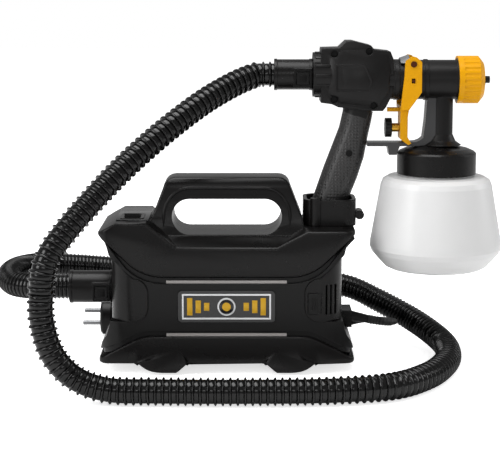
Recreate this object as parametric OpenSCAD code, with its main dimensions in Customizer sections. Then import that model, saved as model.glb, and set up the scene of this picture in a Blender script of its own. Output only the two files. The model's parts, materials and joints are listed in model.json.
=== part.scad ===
// Turbine paint sprayer: a carry-handled base with a motor and fan, a ribbed air hose,
// and a trigger gun with a paint cup that stands in a holder on the base.
// Millimetres, +X towards the spray tip, +Y to the back, +Z up, feet on Z = 0.

/* [Base] */
// Width of the base along its lower edge
base_w = 249; // [235:1:270]
// Depth of the base from front to back
base_d = 110; // [106:1:122]
// Wall of the moulded base shells
base_wall = 2.6; // [2:0.1:3.2]
// Radius of the upright corners at the waist
corner_r = 24; // [18:1:28]
// Radius of the upright corners of the tray and the top shells
end_corner_r = 10; // [8:1:18]
// Height of the tray's underside over the ground
tray_z = 10; // [9:0.5:14]
// Height of the middle of the lower groove
low_groove_z = 40; // [39:0.5:46]
// Height of the middle of the upper groove
high_groove_z = 92; // [90:0.5:96]
// Width of both grooves
groove_w = 6; // [4:0.5:7]
// Depth of both grooves
groove_depth = 3; // [2.5:0.1:3.5]
// How far the waist is drawn in on each side
waist_in = 14.5; // [10:0.5:16]
// Height of the flat deck on the right, under the gun holder
shoulder_z = 140; // [138:0.5:144]
// Height of the flat deck on the left, round the switch
deck_z = 148.5; // [147:0.5:154]
// Height of the sill under the carry handle
sill_z = 133; // [131:0.5:135]

/* [Carry handle] */
// Height of the top of the handle
handle_top = 188; // [184:1:196]
// Half the width of the handle at its foot
handle_foot = 76; // [74:0.5:79]
// Half the width of the handle at its top
handle_shoulder = 63; // [60:0.5:65]
// Width of the opening for the hand
grip_gap_w = 108; // [100:1:112]
// Height of the opening for the hand
grip_gap_h = 34; // [30:0.5:36]

/* [Hose] */
// Diameter over the ribs of the hose
hose_d = 24.6; // [22:0.2:26]
// Depth of the grooves between the ribs
rib_depth = 1.7; // [1.2:0.1:2]
// Number of ribs
rib_count = 190; // [120:1:190]
// Height of the hose outlet over the ground
outlet_z = 75; // [72:0.5:78]
// Diameter of the cuff at the base
base_cuff_d = 32; // [30:0.5:34]
// Diameter of the cuff at the gun
gun_cuff_d = 30; // [29:0.5:32]

/* [Mains cord] */
// Diameter of the cord
cord_d = 6.2; // [5.6:0.1:6.6]
// Length of the hank between its two folds
hank_run = 110; // [95:1:120]
// Loops in each layer of the hank
hank_loops = 2; // [1:1:2]
// Diameter of the plug's face
plug_d = 38; // [36:0.5:40]
// Diameter of each round plug pin
pin_d = 4.8; // [4:0.1:5]
// Length of each plug pin
pin_len = 19; // [18:0.5:20]

/* [Gun] */
// Thickness of the gun's housing from side to side
gun_t = 50; // [46:1:54]
// Height of the barrel's middle over the holder's floor
barrel_rise = 140; // [136:0.5:146]
// Diameter of the barrel
barrel_d = 39; // [37:0.5:40]
// Diameter of the nozzle nut
nut_d = 47; // [46:0.5:50]
// Diameter of the tube down to the cup
down_d = 22; // [20:0.5:24]
// Thickness of the trigger's plates
trigger_t = 2.4; // [2:0.1:3]
// Full pull of the trigger in degrees
trigger_pull = 12; // [8:0.5:12]

/* [Cup] */
// Diameter of the lid
lid_d = 78; // [76:0.5:82]
// Height of the lid's skirt
lid_h = 22; // [20:0.5:24]
// Largest diameter of the cup
cup_d = 131; // [120:1:136]
// Diameter of the cup's shoulder
cup_shoulder_d = 110; // [104:1:114]
// Diameter of the cup's floor
cup_floor_d = 98; // [90:1:104]
// Height of the cup below the lid's top edge
cup_h = 116; // [105:1:118]
// Wall of the cup
cup_wall = 1.8; // [1.4:0.1:2.4]

/* [Hidden] */

black = "#1c1c1e";
soft_black = "#26262a";
grey = "#8f9092";
steel = "#b9bcc0";
yellow = "#f2a900";
brass = "#c9a24a";
paint_white = "#e9ebec";

smooth = 96;
small = 40;
form_fn = 32;
bend_steps = 8;
fit = 0.1;
seat_gap = 0.2;
over = 1;

// ---- derived sizes of the base
half_w = base_w / 2;
half_d = base_d / 2;
tongue = 4;
core_d = half_d - groove_depth - seat_gap;
low_end = low_line(half_w);
high_end = high_line(half_w);
handle_r = 12;
scoop_z = sill_z - 9;
scoop_half = 48;
handle_x = handle_foot - 2;
gap_r = grip_gap_h / 2;
deck_x = half_w - 18;
cover_lo = 52;
cover_hi = 114;
cover_corner = 14;
slot_lo = cover_lo + 7;
slot_hi = 88;
cover_x = half_w - waist_in + 2.6;
cover_start = 76;
cover_t = 2.8;
outlet_face = -(cover_x + 1.6);
cuff_len = 43.5;
base_cuff_x0 = outlet_face - cuff_len;

// ---- derived sizes of the gun; its own frame has the barrel's axis on Z = 0
holder_w = 52;
holder_d = 50;
holder_h = 26;
holder_wall = 3.5;
holder_floor = 3;
holder_x = half_w - 23;
gun_x = holder_x + 19;
gun_z = shoulder_z + holder_floor + barrel_rise;
lean = 20.6;
cuff_up = 5;
barrel_r = barrel_d / 2;
barrel_back = 37;
barrel_front = 112;
pivot_x = 61.2;
pivot_up = 16.2;
pivot_r = 1.8;
running = 0.08;
fork_y = barrel_r + 1;
lever_y = 12;
bridge_z = -25;
guard_y = 9;
lid_x = 87.5;
down_x = 92;
lid_top = -71;
lid_crown_h = 6.3;
needle_r = 1.5;
needle_x0 = 46;
nozzle_x0 = 97;
nut_x = 106.2;
nut_len = 25.5;
nut_end = nut_x + nut_len;
tip_r = 3.5;
knob_z = -47.5;
gun_cuff_x0 = -74;
frame_x = (gun_x + lid_x + cup_d / 2 + base_cuff_x0) / 2;

// ---- routes, chosen by hand in round numbers
hose_route = [
    [base_cuff_x0, 0, outlet_z], [-183, 0, outlet_z], [-196, 0, outlet_z],
    [-216, 14, 75], [-227, 45, 76], [-224, 85, 76], [-203, 117, 74], [-165, 131, 70],
    [-115, 132, 66], [-20, 118, 62], [70, 100, 60], [123, 88, 57], [159, 78, 43],
    [196, 54, 26], [218, 15, 15], [219, -30, 12.8], [208, -70, 12.6], [187, -108, 12.6],
    [152, -140, 12.6], [94, -154, 12.6], [20, -157, 12.6], [-60, -156, 12.6],
    [-105, -154, 13.5], [-134, -152, 23], [-153, -152, 42], [-163, -150, 68],
    [-165, -148, 97], [-157, -143, 136], [-114, -112, 188], [-72, -78, 227],
    [-28, -43, 260], [4, -17, 278], [24, -3, 286], [gun_x - 90, 0, gun_z + cuff_up],
    [gun_x - 87, 0, gun_z + cuff_up], [gun_x + gun_cuff_x0, 0, gun_z + cuff_up]
];
gland_y = 10;
gland_z = 42.5;
gland_x1 = 125;
relief_len = 18;
relief_tilt = 11;
relief_end = gland_x1 + relief_len * cos(relief_tilt);
relief_z = gland_z - relief_len * sin(relief_tilt);
cord_low = 3.4;
hank_x = 15;
hank_y = 116;
hank_in_r = 3 * cord_d;
hank_pitch = cord_d + 0.7;
hank_out_r = hank_in_r + hank_pitch * hank_loops;
cord_start_route = [
    [relief_end, gland_y, relief_z], [150, gland_y, 37.7], [160, 11.5, 35.9], [168.5, 18, 34],
    [171, 28, 32.2], [167, 37, 31], [156, 45, 30], [142, 53, 28], [127, 63, 22],
    [112, 74, 12], [101, 81, 4.8], [92, hank_y - hank_out_r, cord_low],
    [86, hank_y - hank_out_r, cord_low],
    [hank_x + hank_run / 2, hank_y - hank_out_r, cord_low]
];
hank_top = cord_low + hank_pitch;
hank_last_y = hank_y - hank_out_r - hank_pitch / 8;
plug_x = -138;
plug_y = 105;
plug_body_len = 45;
cord_end_route = [
    [hank_x - hank_run / 2, hank_last_y, hank_top],
    [-47, hank_last_y, hank_top], [-54, hank_last_y, hank_top],
    [-66, 88, 12], [-78, 98, 16], [-84, plug_y, plug_d / 2], [-86, plug_y, plug_d / 2],
    [plug_x + plug_body_len, plug_y, plug_d / 2]
];

// ---- small tools
function mirror_left(pts) = [for (i = [len(pts) - 1 : -1 : 0]) [-pts[i][0], pts[i][1]]];
function curve_z(x, flat, r, a) =
    x <= flat ? 0
    : x <= flat + r * sin(a) ? r - sqrt(r * r - (x - flat) * (x - flat))
    : r * (1 - cos(a)) + (x - flat - r * sin(a)) * tan(a);
function low_line(x) = low_groove_z - curve_z(abs(x), 72, 40, 27);
function high_line(x) = high_groove_z + curve_z(abs(x), 62, 48, 44);
high_xs = [62, 70, 78, 86, 92, 97];
low_xs = [72, 78, 84, 90];
function full_row(xs) = concat([-half_w - 5], [for (i = [len(xs) - 1 : -1 : 0]) -xs[i]], xs, [half_w + 5]);
function high_row(up) = [for (x = full_row(high_xs)) [x, high_line(x) + up]];
function low_row(up) = [for (x = full_row(low_xs)) [x, low_line(x) + up]];
function reversed(pts) = [for (i = [len(pts) - 1 : -1 : 0]) pts[i]];
waist_lo = 28;
waist_hi = 136;
function side_x(z, inset) =
    let (t = min(1, max(0, (z - waist_lo) / (waist_hi - waist_lo))))
    half_w - inset - waist_in * sqrt(max(0, sin(180 * t)));
side_steps = 14;
function side_row(z0, z1, inset) =
    [for (i = [0 : side_steps]) let (z = z0 + (z1 - z0) * i / side_steps) [side_x(z, inset), z]];

module in_frame() {
    translate([-frame_x, 0, 0]) children();
}

module in_gun() {
    translate([gun_x - frame_x, 0, gun_z]) children();
}

module slab(y0, y1) {
    translate([0, y1, 0]) rotate([90, 0, 0]) linear_extrude(y1 - y0) children();
}

module floor_slab(z0, z1) {
    translate([0, 0, z0]) linear_extrude(z1 - z0) children();
}

module side_slab(x0, x1) {
    translate([x0, 0, 0]) rotate([90, 0, 90]) linear_extrude(x1 - x0) children();
}

module rod_x(x0, x1, r, y = 0, z = 0, fn = smooth) {
    translate([x0, y, z]) rotate([0, 90, 0]) cylinder(h = x1 - x0, r = r, $fn = fn);
}

module tube_x(x0, x1, r_out, r_in, y = 0, z = 0) {
    difference() {
        rod_x(x0, x1, r_out, y, z);
        rod_x(x0 - over, x1 + over, r_in, y, z);
    }
}

module rod_y(y0, y1, r, x = 0, z = 0, fn = small) {
    translate([x, y1, z]) rotate([90, 0, 0]) cylinder(h = y1 - y0, r = r, $fn = fn);
}

module rounded(w, d, r) {
    square([w - 2 * r, d], center = true);
    square([w, d - 2 * r], center = true);
    for (sx = [-1, 1], sy = [-1, 1])
        translate([sx * (w / 2 - r), sy * (d / 2 - r)]) circle(r, $fn = smooth);
}

module box(x0, x1, y0, y1, z0, z1) {
    translate([x0, y0, z0]) cube([x1 - x0, y1 - y0, z1 - z0]);
}

// ---- base shells
module plan(inset) {
    rounded(base_w - 2 * inset, base_d - 2 * inset, corner_r - inset);
}

module end_plan(inset) {
    rounded(base_w - 2 * inset, base_d - 2 * inset, end_corner_r - inset);
}

// The scoop under the handle has leaning sides; its corners move out with the wall's inset.
scoop_top = handle_foot + 2;
function scoop_shift(rise) =
    let (run = scoop_top - scoop_half) (norm([run, rise]) - run) / rise;
module top_outline(inset, low) {
    right = inset * scoop_shift(shoulder_z - scoop_z);
    left = inset * scoop_shift(deck_z - scoop_z);
    polygon(concat(
        high_row(low),
        [[half_w + 5, shoulder_z - inset], [scoop_top + right, shoulder_z - inset],
         [scoop_half + right, scoop_z - inset], [-scoop_half - left, scoop_z - inset],
         [-scoop_top - left, deck_z - inset], [-deck_x + inset / 3, deck_z - inset],
         [-half_w - 5, shoulder_z - 4 - inset]]
    ));
}

module handle_outline(inset) {
    x_top = handle_shoulder - inset;
    top = handle_top - inset;
    difference() {
        polygon(concat(
            [[-handle_foot + inset, scoop_z - 6], [handle_foot - inset, scoop_z - 6],
             [handle_x - inset, deck_z]],
            handle_corner(x_top, top),
            mirror_left(handle_corner(x_top, top)),
            [[-handle_x + inset, deck_z]]
        ));
        gap_shape(inset);
    }
}

function handle_corner(x_top, top) =
    [for (i = [0 : 4]) let (a = 8 + 82 * i / 4)
        [x_top - handle_r + handle_r * cos(a), top - handle_r + handle_r * sin(a)]];

module gap_shape(grow) {
    r = gap_r + grow;
    run = grip_gap_w / 2 - gap_r;
    translate([0, sill_z + gap_r]) {
        square([2 * run, 2 * r], center = true);
        for (s = [-1, 1]) translate([s * run, 0]) circle(r, $fn = smooth);
    }
}

module handle_side(inset) {
    drop = 0.8 * inset;
    right = [[half_d - inset, scoop_z - 6], [half_d - inset, scoop_z - drop], [31 - inset, sill_z - 1 - drop],
             [27 - inset, sill_z + 6], [24.5 - inset, deck_z + 2], [22 - inset, sill_z + 2 * gap_r - 2],
             [20.5 - inset, handle_top - 6], [17 - inset, handle_top - inset]];
    polygon(concat(right, mirror_left(right)));
}

module top_solid(inset, low) {
    intersection() {
        slab(-half_d + inset, half_d - inset) top_outline(inset, low);
        floor_slab(0, handle_top) end_plan(inset);
    }
    intersection() {
        slab(-half_d, half_d) handle_outline(inset);
        side_slab(-half_w, half_w) handle_side(inset);
    }
}

top_bosses = [[-100, 128], [100, 127]];
mid_bosses = [[-86, 56.5], [-86, 94], [86, 56.5], [86, 94]];
boss_r = 4.5;
screw_r = 1.6;
screw_head_r = 3.2;

module bosses(spots, y0, y1) {
    for (s = spots) rod_y(y0, y1, boss_r, s[0], s[1]);
}

module screw_holes(spots) {
    for (s = spots) {
        rod_y(-20, half_d + over, screw_r + fit, s[0], s[1]);
        rod_y(half_d - 6, half_d + over, screw_head_r + 0.4, s[0], s[1]);
    }
}

module switch_cut() {
    translate([switch_x, switch_y, deck_z - 8]) linear_extrude(8 + over) square([20, 28], center = true);
}
switch_x = -(handle_foot + deck_x) / 2 - 1;
switch_y = -22;

module other_half(back) {
    flip_y(back ? 1 : -1) box(-half_w - over, half_w + over, -half_d - over, 0, 0, handle_top + over);
}

module top_half(back) {
    difference() {
        union() {
            difference() {
                top_solid(0, groove_w / 2);
                top_solid(base_wall, -tongue * 3);
            }
            intersection() {
                bosses(top_bosses, -half_d + 1, half_d - 1);
                top_solid(1, groove_w / 2 + 1);
            }
        }
        other_half(back);
        screw_holes(top_bosses);
        holder_screw_holes();
        switch_cut();
    }
}

module top_shell_front() {
    color(black) in_frame() top_half(false);
}

module top_shell_back() {
    color(black) in_frame() top_half(true);
}

module mid_skin(inset, low, high) {
    z0 = low_end + low;
    z1 = high_end + high;
    polygon(concat(
        [for (p = low_row(low)) if (abs(p[0]) < half_w - inset) p],
        side_row(z0, z1, inset),
        reversed([for (p = high_row(high)) if (abs(p[0]) < half_w - inset) p]),
        mirror_left(side_row(z0, z1, inset))
    ));
}

module mid_block(inset, low, high) {
    intersection() {
        slab(-half_d + inset, half_d - inset) mid_skin(inset, low, high);
        floor_slab(0, handle_top) plan(inset);
    }
}

function cover_edge(x) = high_line(x) - 7;
module cover_window(grow) {
    r = cover_corner + grow;
    z0 = cover_lo - grow;
    x0 = cover_start - grow;
    x1 = half_w + 10;
    zt = cover_edge(x0 + r) + grow;
    polygon(concat(
        [[x1, z0], [x1, cover_edge(x1) + grow], [97, cover_edge(97) + grow]],
        [for (i = [0 : bend_steps]) let (a = 90 * i / bend_steps) [x0 + r - r * sin(a), zt - r + r * cos(a)]],
        [for (i = [0 : bend_steps]) let (a = 90 * i / bend_steps) [x0 + r - r * cos(a), z0 + r - r * sin(a)]]
    ));
}

module cover_ring(inset, solid_inset) {
    difference() {
        floor_slab(cover_lo, cover_hi) rounded(2 * cover_x - 2 * inset, base_d + 3 - 2 * inset, corner_r);
        floor_slab(cover_lo - over, cover_hi + over)
            rounded(2 * cover_x - 2 * solid_inset, base_d + 3 - 2 * solid_inset, corner_r - 2);
    }
}

module mid_half(back) {
    skin_y = groove_w / 2;
    difference() {
        union() {
            difference() {
                union() {
                    mid_block(0, skin_y, -skin_y);
                    intersection() {
                        mid_block(groove_depth + seat_gap, -skin_y - tongue, skin_y + tongue);
                        floor_slab(tray_z + base_wall + seat_gap, shoulder_z - base_wall - seat_gap)
                            plan(0);
                    }
                }
                mid_block(groove_depth + seat_gap + base_wall, -30, 30);
                cover_recess();
                mirror([1, 0, 0]) cover_recess();
                slab(-half_d - over, -half_d + 1) translate([0, badge_z])
                    rounded(badge_w + 2 * seat_gap, badge_h + 2 * seat_gap, 4);
            }
            intersection() {
                bosses(mid_bosses, -half_d + 1, half_d - 1);
                mid_block(groove_depth, skin_y, -skin_y);
            }
        }
        other_half(back);
        screw_holes(mid_bosses);
        rod_x(-half_w, -half_w + 30, socket_r + fit, 0, outlet_z);
        intake_slots(half_w - 30, half_w + over, 3);
    }
}

module cover_recess() {
    difference() {
        slab(-half_d - over, half_d + over) cover_window(seat_gap);
        floor_slab(0, handle_top)
            rounded(2 * (cover_x - cover_t - seat_gap), base_d + 3 - 2 * (cover_t + seat_gap), corner_r - 2);
    }
}

slot_ys = [-28, -20, -12, -4, 4, 12, 20, 28];
module intake_slots(x0, x1, w) {
    for (y = slot_ys) box(x0, x1, y - w / 2, y + w / 2, slot_lo, slot_hi);
}

module mid_shell_front() {
    color(soft_black) in_frame() mid_half(false);
}

module mid_shell_back() {
    color(soft_black) in_frame() mid_half(true);
}

// ---- bottom tray with its four feet
foot_in = 38;
foot_flat_in = 49;
foot_flat_out = 62;
foot_out = 87;
foot_depth = 34;
foot_pad = 2;
foot_y = half_d - 6 - foot_depth / 2;

module tray_outline(inset, up) {
    polygon(concat(
        reversed(low_row(up)),
        [[-half_w - 5, tray_z + inset], [half_w + 5, tray_z + inset]]
    ));
}

// Each foot swells out of the tray's wall, with a steep inner side and a long curved outer side.
foot_top = 25;
foot_swell = 5;
foot_end = foot_y + foot_depth / 2;
foot_curve = 5;
module foot() {
    reach = foot_out - foot_flat_out;
    rise = tray_z + over - foot_pad;
    intersection() {
        slab(foot_y - foot_depth / 2, foot_end + 20) polygon(concat(
            [[foot_in, tray_z + over], [foot_flat_in, foot_pad]],
            [for (i = [0 : foot_curve]) let (t = i / foot_curve)
                [foot_flat_out + reach * t, foot_pad + rise * t * t]],
            [[foot_flat_out + 12, tray_z + 6], [foot_flat_out + 1, foot_top],
             [foot_flat_in, foot_top], [foot_in + 2, tray_z + 6]]
        ));
        side_slab(0, half_w) polygon([
            [foot_y - foot_depth / 2, foot_pad], [half_d + foot_swell - 1.5, foot_pad],
            [half_d + foot_swell, foot_pad + 2], [half_d - 1, foot_top],
            [half_d - base_wall + 0.4, foot_top], [half_d - base_wall + 0.4, tray_z + over],
            [foot_y - foot_depth / 2, tray_z + over]
        ]);
    }
}

module at_feet() {
    for (sx = [-1, 1], sy = [-1, 1]) flip_x(sx) flip_y(sy) children();
}

module flip_x(s) {
    if (s < 0) mirror([1, 0, 0]) children();
    else children();
}

module flip_y(s) {
    if (s < 0) mirror([0, 1, 0]) children();
    else children();
}

module bottom_tray() {
    color(black) in_frame() difference() {
        union() {
            difference() {
                intersection() {
                    slab(-half_d, half_d) tray_outline(0, -groove_w / 2);
                    floor_slab(0, handle_top) end_plan(0);
                }
                intersection() {
                    slab(-half_d + base_wall, half_d - base_wall) tray_outline(base_wall, tongue * 3);
                    floor_slab(0, handle_top) end_plan(base_wall);
                }
            }
            at_feet() foot();
        }
        at_feet() translate([(foot_flat_in + foot_flat_out) / 2, foot_y, 0])
            cylinder(h = tray_z, r = 2.2, $fn = small);
    }
}

module rubber_feet() {
    mid = (foot_flat_in + foot_flat_out) / 2;
    color(soft_black) in_frame() at_feet() {
        floor_slab(0, foot_pad) translate([mid, foot_y])
            rounded(foot_flat_out - foot_flat_in, foot_depth - 4, 4);
        translate([mid, foot_y, foot_pad - 0.5]) cylinder(h = 6, r = 2.1, $fn = small);
    }
}

// ---- trim, badge and covers
strip_w = 116.5;
strip_h = 3;
strip_t = 1.6;
module trim_strips() {
    color(grey) in_frame() for (z = [low_groove_z, high_groove_z], side = [-1, 1]) {
        y = side * (core_d + strip_t / 2);
        slab(y - strip_t / 2, y + strip_t / 2)
            translate([0, z - (groove_w - strip_h) / 2 + seat_gap]) square([strip_w, strip_h], center = true);
    }
}

badge_w = 94;
badge_h = 31;
badge_z = (low_groove_z + high_groove_z) / 2 + 1;
module badge_plate() {
    color("#303033") in_frame() slab(-half_d - 0.6, -half_d + 1) translate([0, badge_z])
        rounded(badge_w, badge_h, 4);
}

module side_cover() {
    intersection() {
        cover_ring(0, cover_t);
        slab(-half_d - 5, half_d + 5) cover_window(0);
    }
}

socket_r = 17;
module outlet_cover() {
    color(black) in_frame() difference() {
        mirror([1, 0, 0]) side_cover();
        rod_x(-half_w, -half_w + 30, socket_r + fit, 0, outlet_z);
    }
}

latch_x = cover_start + 3;
latch_w = 9.5;
latch_h = 20;
latch_travel = 3;
latch_z = cover_lo + 18;
cover_front = half_d + 1.5;
module filter_cover() {
    color(black) in_frame() difference() {
        side_cover();
        intake_slots(half_w - 30, half_w + over, 3.6);
        front_slots();
        slab(-cover_front - over, -cover_front + 1.4)
            translate([latch_x + (latch_w + latch_travel) / 2, latch_z])
            square([latch_w + latch_travel + 2 * seat_gap, latch_h + 2 * seat_gap], center = true);
    }
}

module front_slots() {
    for (i = [0 : 2], side = [-1, 1]) {
        x = cover_x - 17 + 4.4 * i;
        flip_y(side) box(x, x + 1.8, 35, cover_front + over, slot_lo, slot_hi);
    }
}

module cover_latch() {
    color(soft_black) in_frame() {
        slab(-cover_front - 0.9, -cover_front + 1.3) translate([latch_x + latch_w / 2, latch_z])
            square([latch_w, latch_h], center = true);
        for (i = [0 : 2])
            slab(-cover_front - 1.6, -cover_front - 0.8) translate([latch_x + 3 + 2.5 * i, latch_z])
                square([1.2, latch_h - 8], center = true);
    }
}

module air_filter() {
    x1 = side_x((waist_lo + waist_hi) / 2, groove_depth + seat_gap + base_wall) - 0.3;
    color("#6d7073") in_frame() box(x1 - 7, x1, -36, 36, slot_lo - 3, slot_hi + 3);
}

// ---- switch
rocker_pin = 17.6;
rocker_pin_r = 1.2;
module switch_body() {
    color(black) in_frame() translate([switch_x, switch_y, 0]) difference() {
        union() {
            floor_slab(deck_z, deck_z + 2) rounded(23, 31, 3);
            floor_slab(deck_z - 16, deck_z + 0.5) square([19.6, 27.6], center = true);
        }
        floor_slab(deck_z - 6, deck_z + 3) square([15.6, 22.8], center = true);
        rod_x(-rocker_pin / 2 - fit, rocker_pin / 2 + fit, rocker_pin_r + running, 0, deck_z, small);
    }
}

module power_switch() {
    rock = [[-10.2, -1.5], [10.2, -1.5], [10.2, 0.5], [0, 3], [-10.2, 6]];
    color("#3a3a3e") in_frame() translate([switch_x, switch_y, deck_z]) {
        intersection() {
            side_slab(-7.5, 7.5) polygon(rock);
            side_slab(-8, 8) translate([0, 10]) circle(14.5, $fn = smooth);
        }
        rod_x(-rocker_pin / 2, rocker_pin / 2, rocker_pin_r, 0, 0, small);
    }
}

// ---- gun holder on the right shoulder
module holder_outline(inset) {
    translate([holder_x, 0]) rounded(holder_w - 2 * inset, holder_d - 2 * inset, 14 - inset);
}

holder_screw_y = 12;
module gun_holder() {
    z1 = shoulder_z + holder_h;
    color(black) in_frame() difference() {
        union() {
            floor_slab(shoulder_z, z1) holder_outline(0);
            rod_y(-9, 9, 4.5, holder_x + holder_w / 2 + 4, z1 - 17);
            box(holder_x + holder_w / 2 - 2, holder_x + holder_w / 2 + 3, -7, 7, z1 - 20, z1 - 14);
            translate([holder_x - 14, -holder_d / 2 + 3, shoulder_z])
                cylinder(h = holder_h + 2, r = 5.5, $fn = smooth);
        }
        floor_slab(shoulder_z + holder_floor, z1 + 3) holder_outline(holder_wall);
        holder_screw_holes();
    }
}

module holder_screw_holes() {
    for (s = [-1, 1]) translate([holder_x, s * holder_screw_y, shoulder_z]) {
        translate([0, 0, -12]) cylinder(h = 20, r = screw_r + fit, $fn = small);
        translate([0, 0, holder_floor - 1.1]) cylinder(h = 4, r = screw_head_r + 0.2, $fn = small);
    }
}

module holder_screws() {
    color(steel) in_frame() for (s = [-1, 1]) translate([holder_x, s * holder_screw_y, shoulder_z]) {
        translate([0, 0, -8]) cylinder(h = holder_floor + 7.5, r = screw_r, $fn = small);
        translate([0, 0, holder_floor - 1]) cylinder(h = 0.9, r = screw_head_r, $fn = small);
    }
}

module side_clip() {
    lo = cover_hi + 2;
    hi = shoulder_z - 11;
    color(black) in_frame() slab(-9, 9) polygon(concat(
        [[half_w + 1, hi + 1], [half_w + 2.5, hi - 4],
         [side_x(lo, 0) + 4, lo - 1], [side_x(lo - 1, 0) + seat_gap, lo - 1]],
        [for (z = [lo : 3 : hi]) [side_x(z, 0) + seat_gap, z]]
    ));
}

// ---- air path inside the base
fan_r = 42;
fan_x0 = -78;
fan_x1 = -28;
motor_r = 31;
motor_x1 = 42;
shaft_r = 4;
nozzle_r = 13;
bearing_r = 11;
bearing_w = 7;
can_t = 2;

module outlet_socket() {
    inner = side_x(outlet_z, groove_depth + seat_gap + base_wall);
    color(black) in_frame() difference() {
        union() {
            rod_x(outlet_face, -inner + 4, socket_r, 0, outlet_z);
            rod_x(-inner + 1, -inner + 4, socket_r + 4, 0, outlet_z);
        }
        rod_x(outlet_face - over, -inner + 4 + over, nozzle_r + fit, 0, outlet_z);
    }
}

module fan_housing() {
    inner = side_x(outlet_z, groove_depth + seat_gap + base_wall);
    color("#4a4b4f") in_frame() difference() {
        union() {
            rod_x(fan_x0, fan_x1, fan_r, 0, outlet_z);
            rod_x(-inner, fan_x0 + over, nozzle_r, 0, outlet_z);
        }
        rod_x(fan_x0 + can_t, fan_x1 - can_t, fan_r - can_t, 0, outlet_z);
        rod_x(-inner - over, fan_x0 + 2 * can_t, nozzle_r - can_t, 0, outlet_z);
        rod_x(fan_x1 - 2 * can_t, fan_x1 + over, bearing_r + 3, 0, outlet_z);
    }
}

module impeller() {
    blades = 11;
    x0 = fan_x0 + 10;
    color("#d8d8d8") in_frame() translate([0, 0, outlet_z]) difference() {
        union() {
            rod_x(x0, x0 + 2, fan_r - can_t - 3);
            rod_x(x0 + 22, x0 + 24, fan_r - can_t - 3);
            rod_x(x0 - 3, x0 + 26, 8);
            for (i = [0 : blades - 1]) rotate([i * 360 / blades, 0, 0])
                box(x0 + 1, x0 + 23, 7, fan_r - can_t - 4, -0.8, 0.8);
        }
        rod_x(x0 - 4, x0 + 27, shaft_r + 0.02);
    }
}

module motor_can() {
    color(steel) in_frame() difference() {
        rod_x(fan_x1 + 0.2, motor_x1, motor_r, 0, outlet_z);
        rod_x(fan_x1 + bearing_w + 2, motor_x1 - bearing_w - 2, motor_r - can_t, 0, outlet_z);
        rod_x(fan_x1 - over, fan_x1 + bearing_w + 0.2, bearing_r + 0.05, 0, outlet_z);
        rod_x(motor_x1 - bearing_w - 0.2, motor_x1 + over, bearing_r + 0.05, 0, outlet_z);
        rod_x(fan_x1 - over, motor_x1 + over, shaft_r + 2, 0, outlet_z);
    }
}

module motor_shaft() {
    color(steel) in_frame() {
        rod_x(fan_x0 + 5, motor_x1 + 3, shaft_r, 0, outlet_z);
        rod_x(fan_x1 + 18, motor_x1 - 16, 21, 0, outlet_z);
    }
}

module motor_bearings() {
    color(steel) in_frame() for (x = [fan_x1 + 0.2, motor_x1 - bearing_w])
        tube_x(x, x + bearing_w, bearing_r, shaft_r + 0.04, 0, outlet_z);
}

module motor_mounts() {
    floor_z = tray_z + base_wall;
    color("#2b2b2b") in_frame() difference() {
        for (x = [fan_x0 + 8, motor_x1 - 26]) box(x, x + 12, -30, 30, floor_z, outlet_z - 14);
        rod_x(fan_x0 - 5, fan_x1 + 1, fan_r + fit, 0, outlet_z);
        rod_x(fan_x1 + 1, motor_x1 + 5, motor_r + fit, 0, outlet_z);
    }
}

module base_screws() {
    color(steel) in_frame() for (s = concat(top_bosses, mid_bosses)) {
        rod_y(-18, half_d - 6, screw_r, s[0], s[1]);
        rod_y(half_d - 6, half_d - 3.5, screw_head_r, s[0], s[1]);
    }
}

// ---- mains inlet
module cord_gland() {
    x0 = side_x(gland_z, 0) - 6;
    color(black) in_frame() difference() {
        union() {
            box(x0, gland_x1, gland_y - 14, gland_y + 14, gland_z - 8.5, gland_z + 8.5);
            translate([gland_x1, gland_y, gland_z]) rotate([0, 90 + relief_tilt, 0]) translate([0, 0, -2])
                cylinder(h = relief_len + 2, r1 = 5.4, r2 = cord_d / 2 + 1, $fn = smooth);
        }
        mid_block(-seat_gap, groove_w / 2, -groove_w / 2);
        tray_clear();
    }
}

module tray_clear() {
    intersection() {
        slab(-half_d, half_d) tray_outline(-seat_gap, groove_w / 2 + 3);
        floor_slab(0, handle_top) end_plan(-seat_gap);
    }
}

// ---- soft forms: a round section swept along a route
function cat(a, b, c, d, t) =
    0.5 * (2 * b + (c - a) * t + (2 * a - 5 * b + 4 * c - d) * t * t + (3 * b - a - 3 * c + d) * t * t * t);
function smooth_route(r, n) = concat(
    [for (i = [0 : len(r) - 2], j = [0 : n - 1])
        cat(r[max(i - 1, 0)], r[i], r[i + 1], r[min(i + 2, len(r) - 1)], j / n)],
    [r[len(r) - 1]]
);
function run_sums(p) =
    [for (i = 0, s = 0; i < len(p); s = s + (i + 1 < len(p) ? norm(p[i + 1] - p[i]) : 0), i = i + 1) s];
function at_length(p, sums, s) =
    [for (k = [0 : 2]) lookup(s, [for (i = [0 : len(p) - 1]) [sums[i], p[i][k]]])];
function station_points(r, n, count) =
    let (p = smooth_route(r, n), sums = run_sums(p), total = sums[len(p) - 1])
    [for (i = [0 : count]) at_length(p, sums, total * i / count)];
function unit(v) = v / norm(v);
function way(p, i) = unit(p[min(i + 1, len(p) - 1)] - p[max(i - 1, 0)]);
function ring(centre, forward, ref, r, sides) =
    let (a = unit(cross(forward, ref)), b = cross(forward, a))
    [for (k = [0 : sides - 1]) centre + r * (cos(360 * k / sides) * a + sin(360 * k / sides) * b)];
function side_faces(rings, sides, first, flip) =
    [for (i = [0 : rings - 2], k = [0 : sides - 1], half = [0, 1])
        let (a = first + i * sides + k, b = first + i * sides + (k + 1) % sides, c = a + sides, d = b + sides,
             tri = half == 0 ? [a, b, d] : [a, d, c])
        flip ? [tri[2], tri[1], tri[0]] : tri];
function end_fan(sides, first, flip) =
    [for (k = [1 : sides - 2]) flip ? [first, first + k, first + k + 1] : [first + k + 1, first + k, first]];

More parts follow.
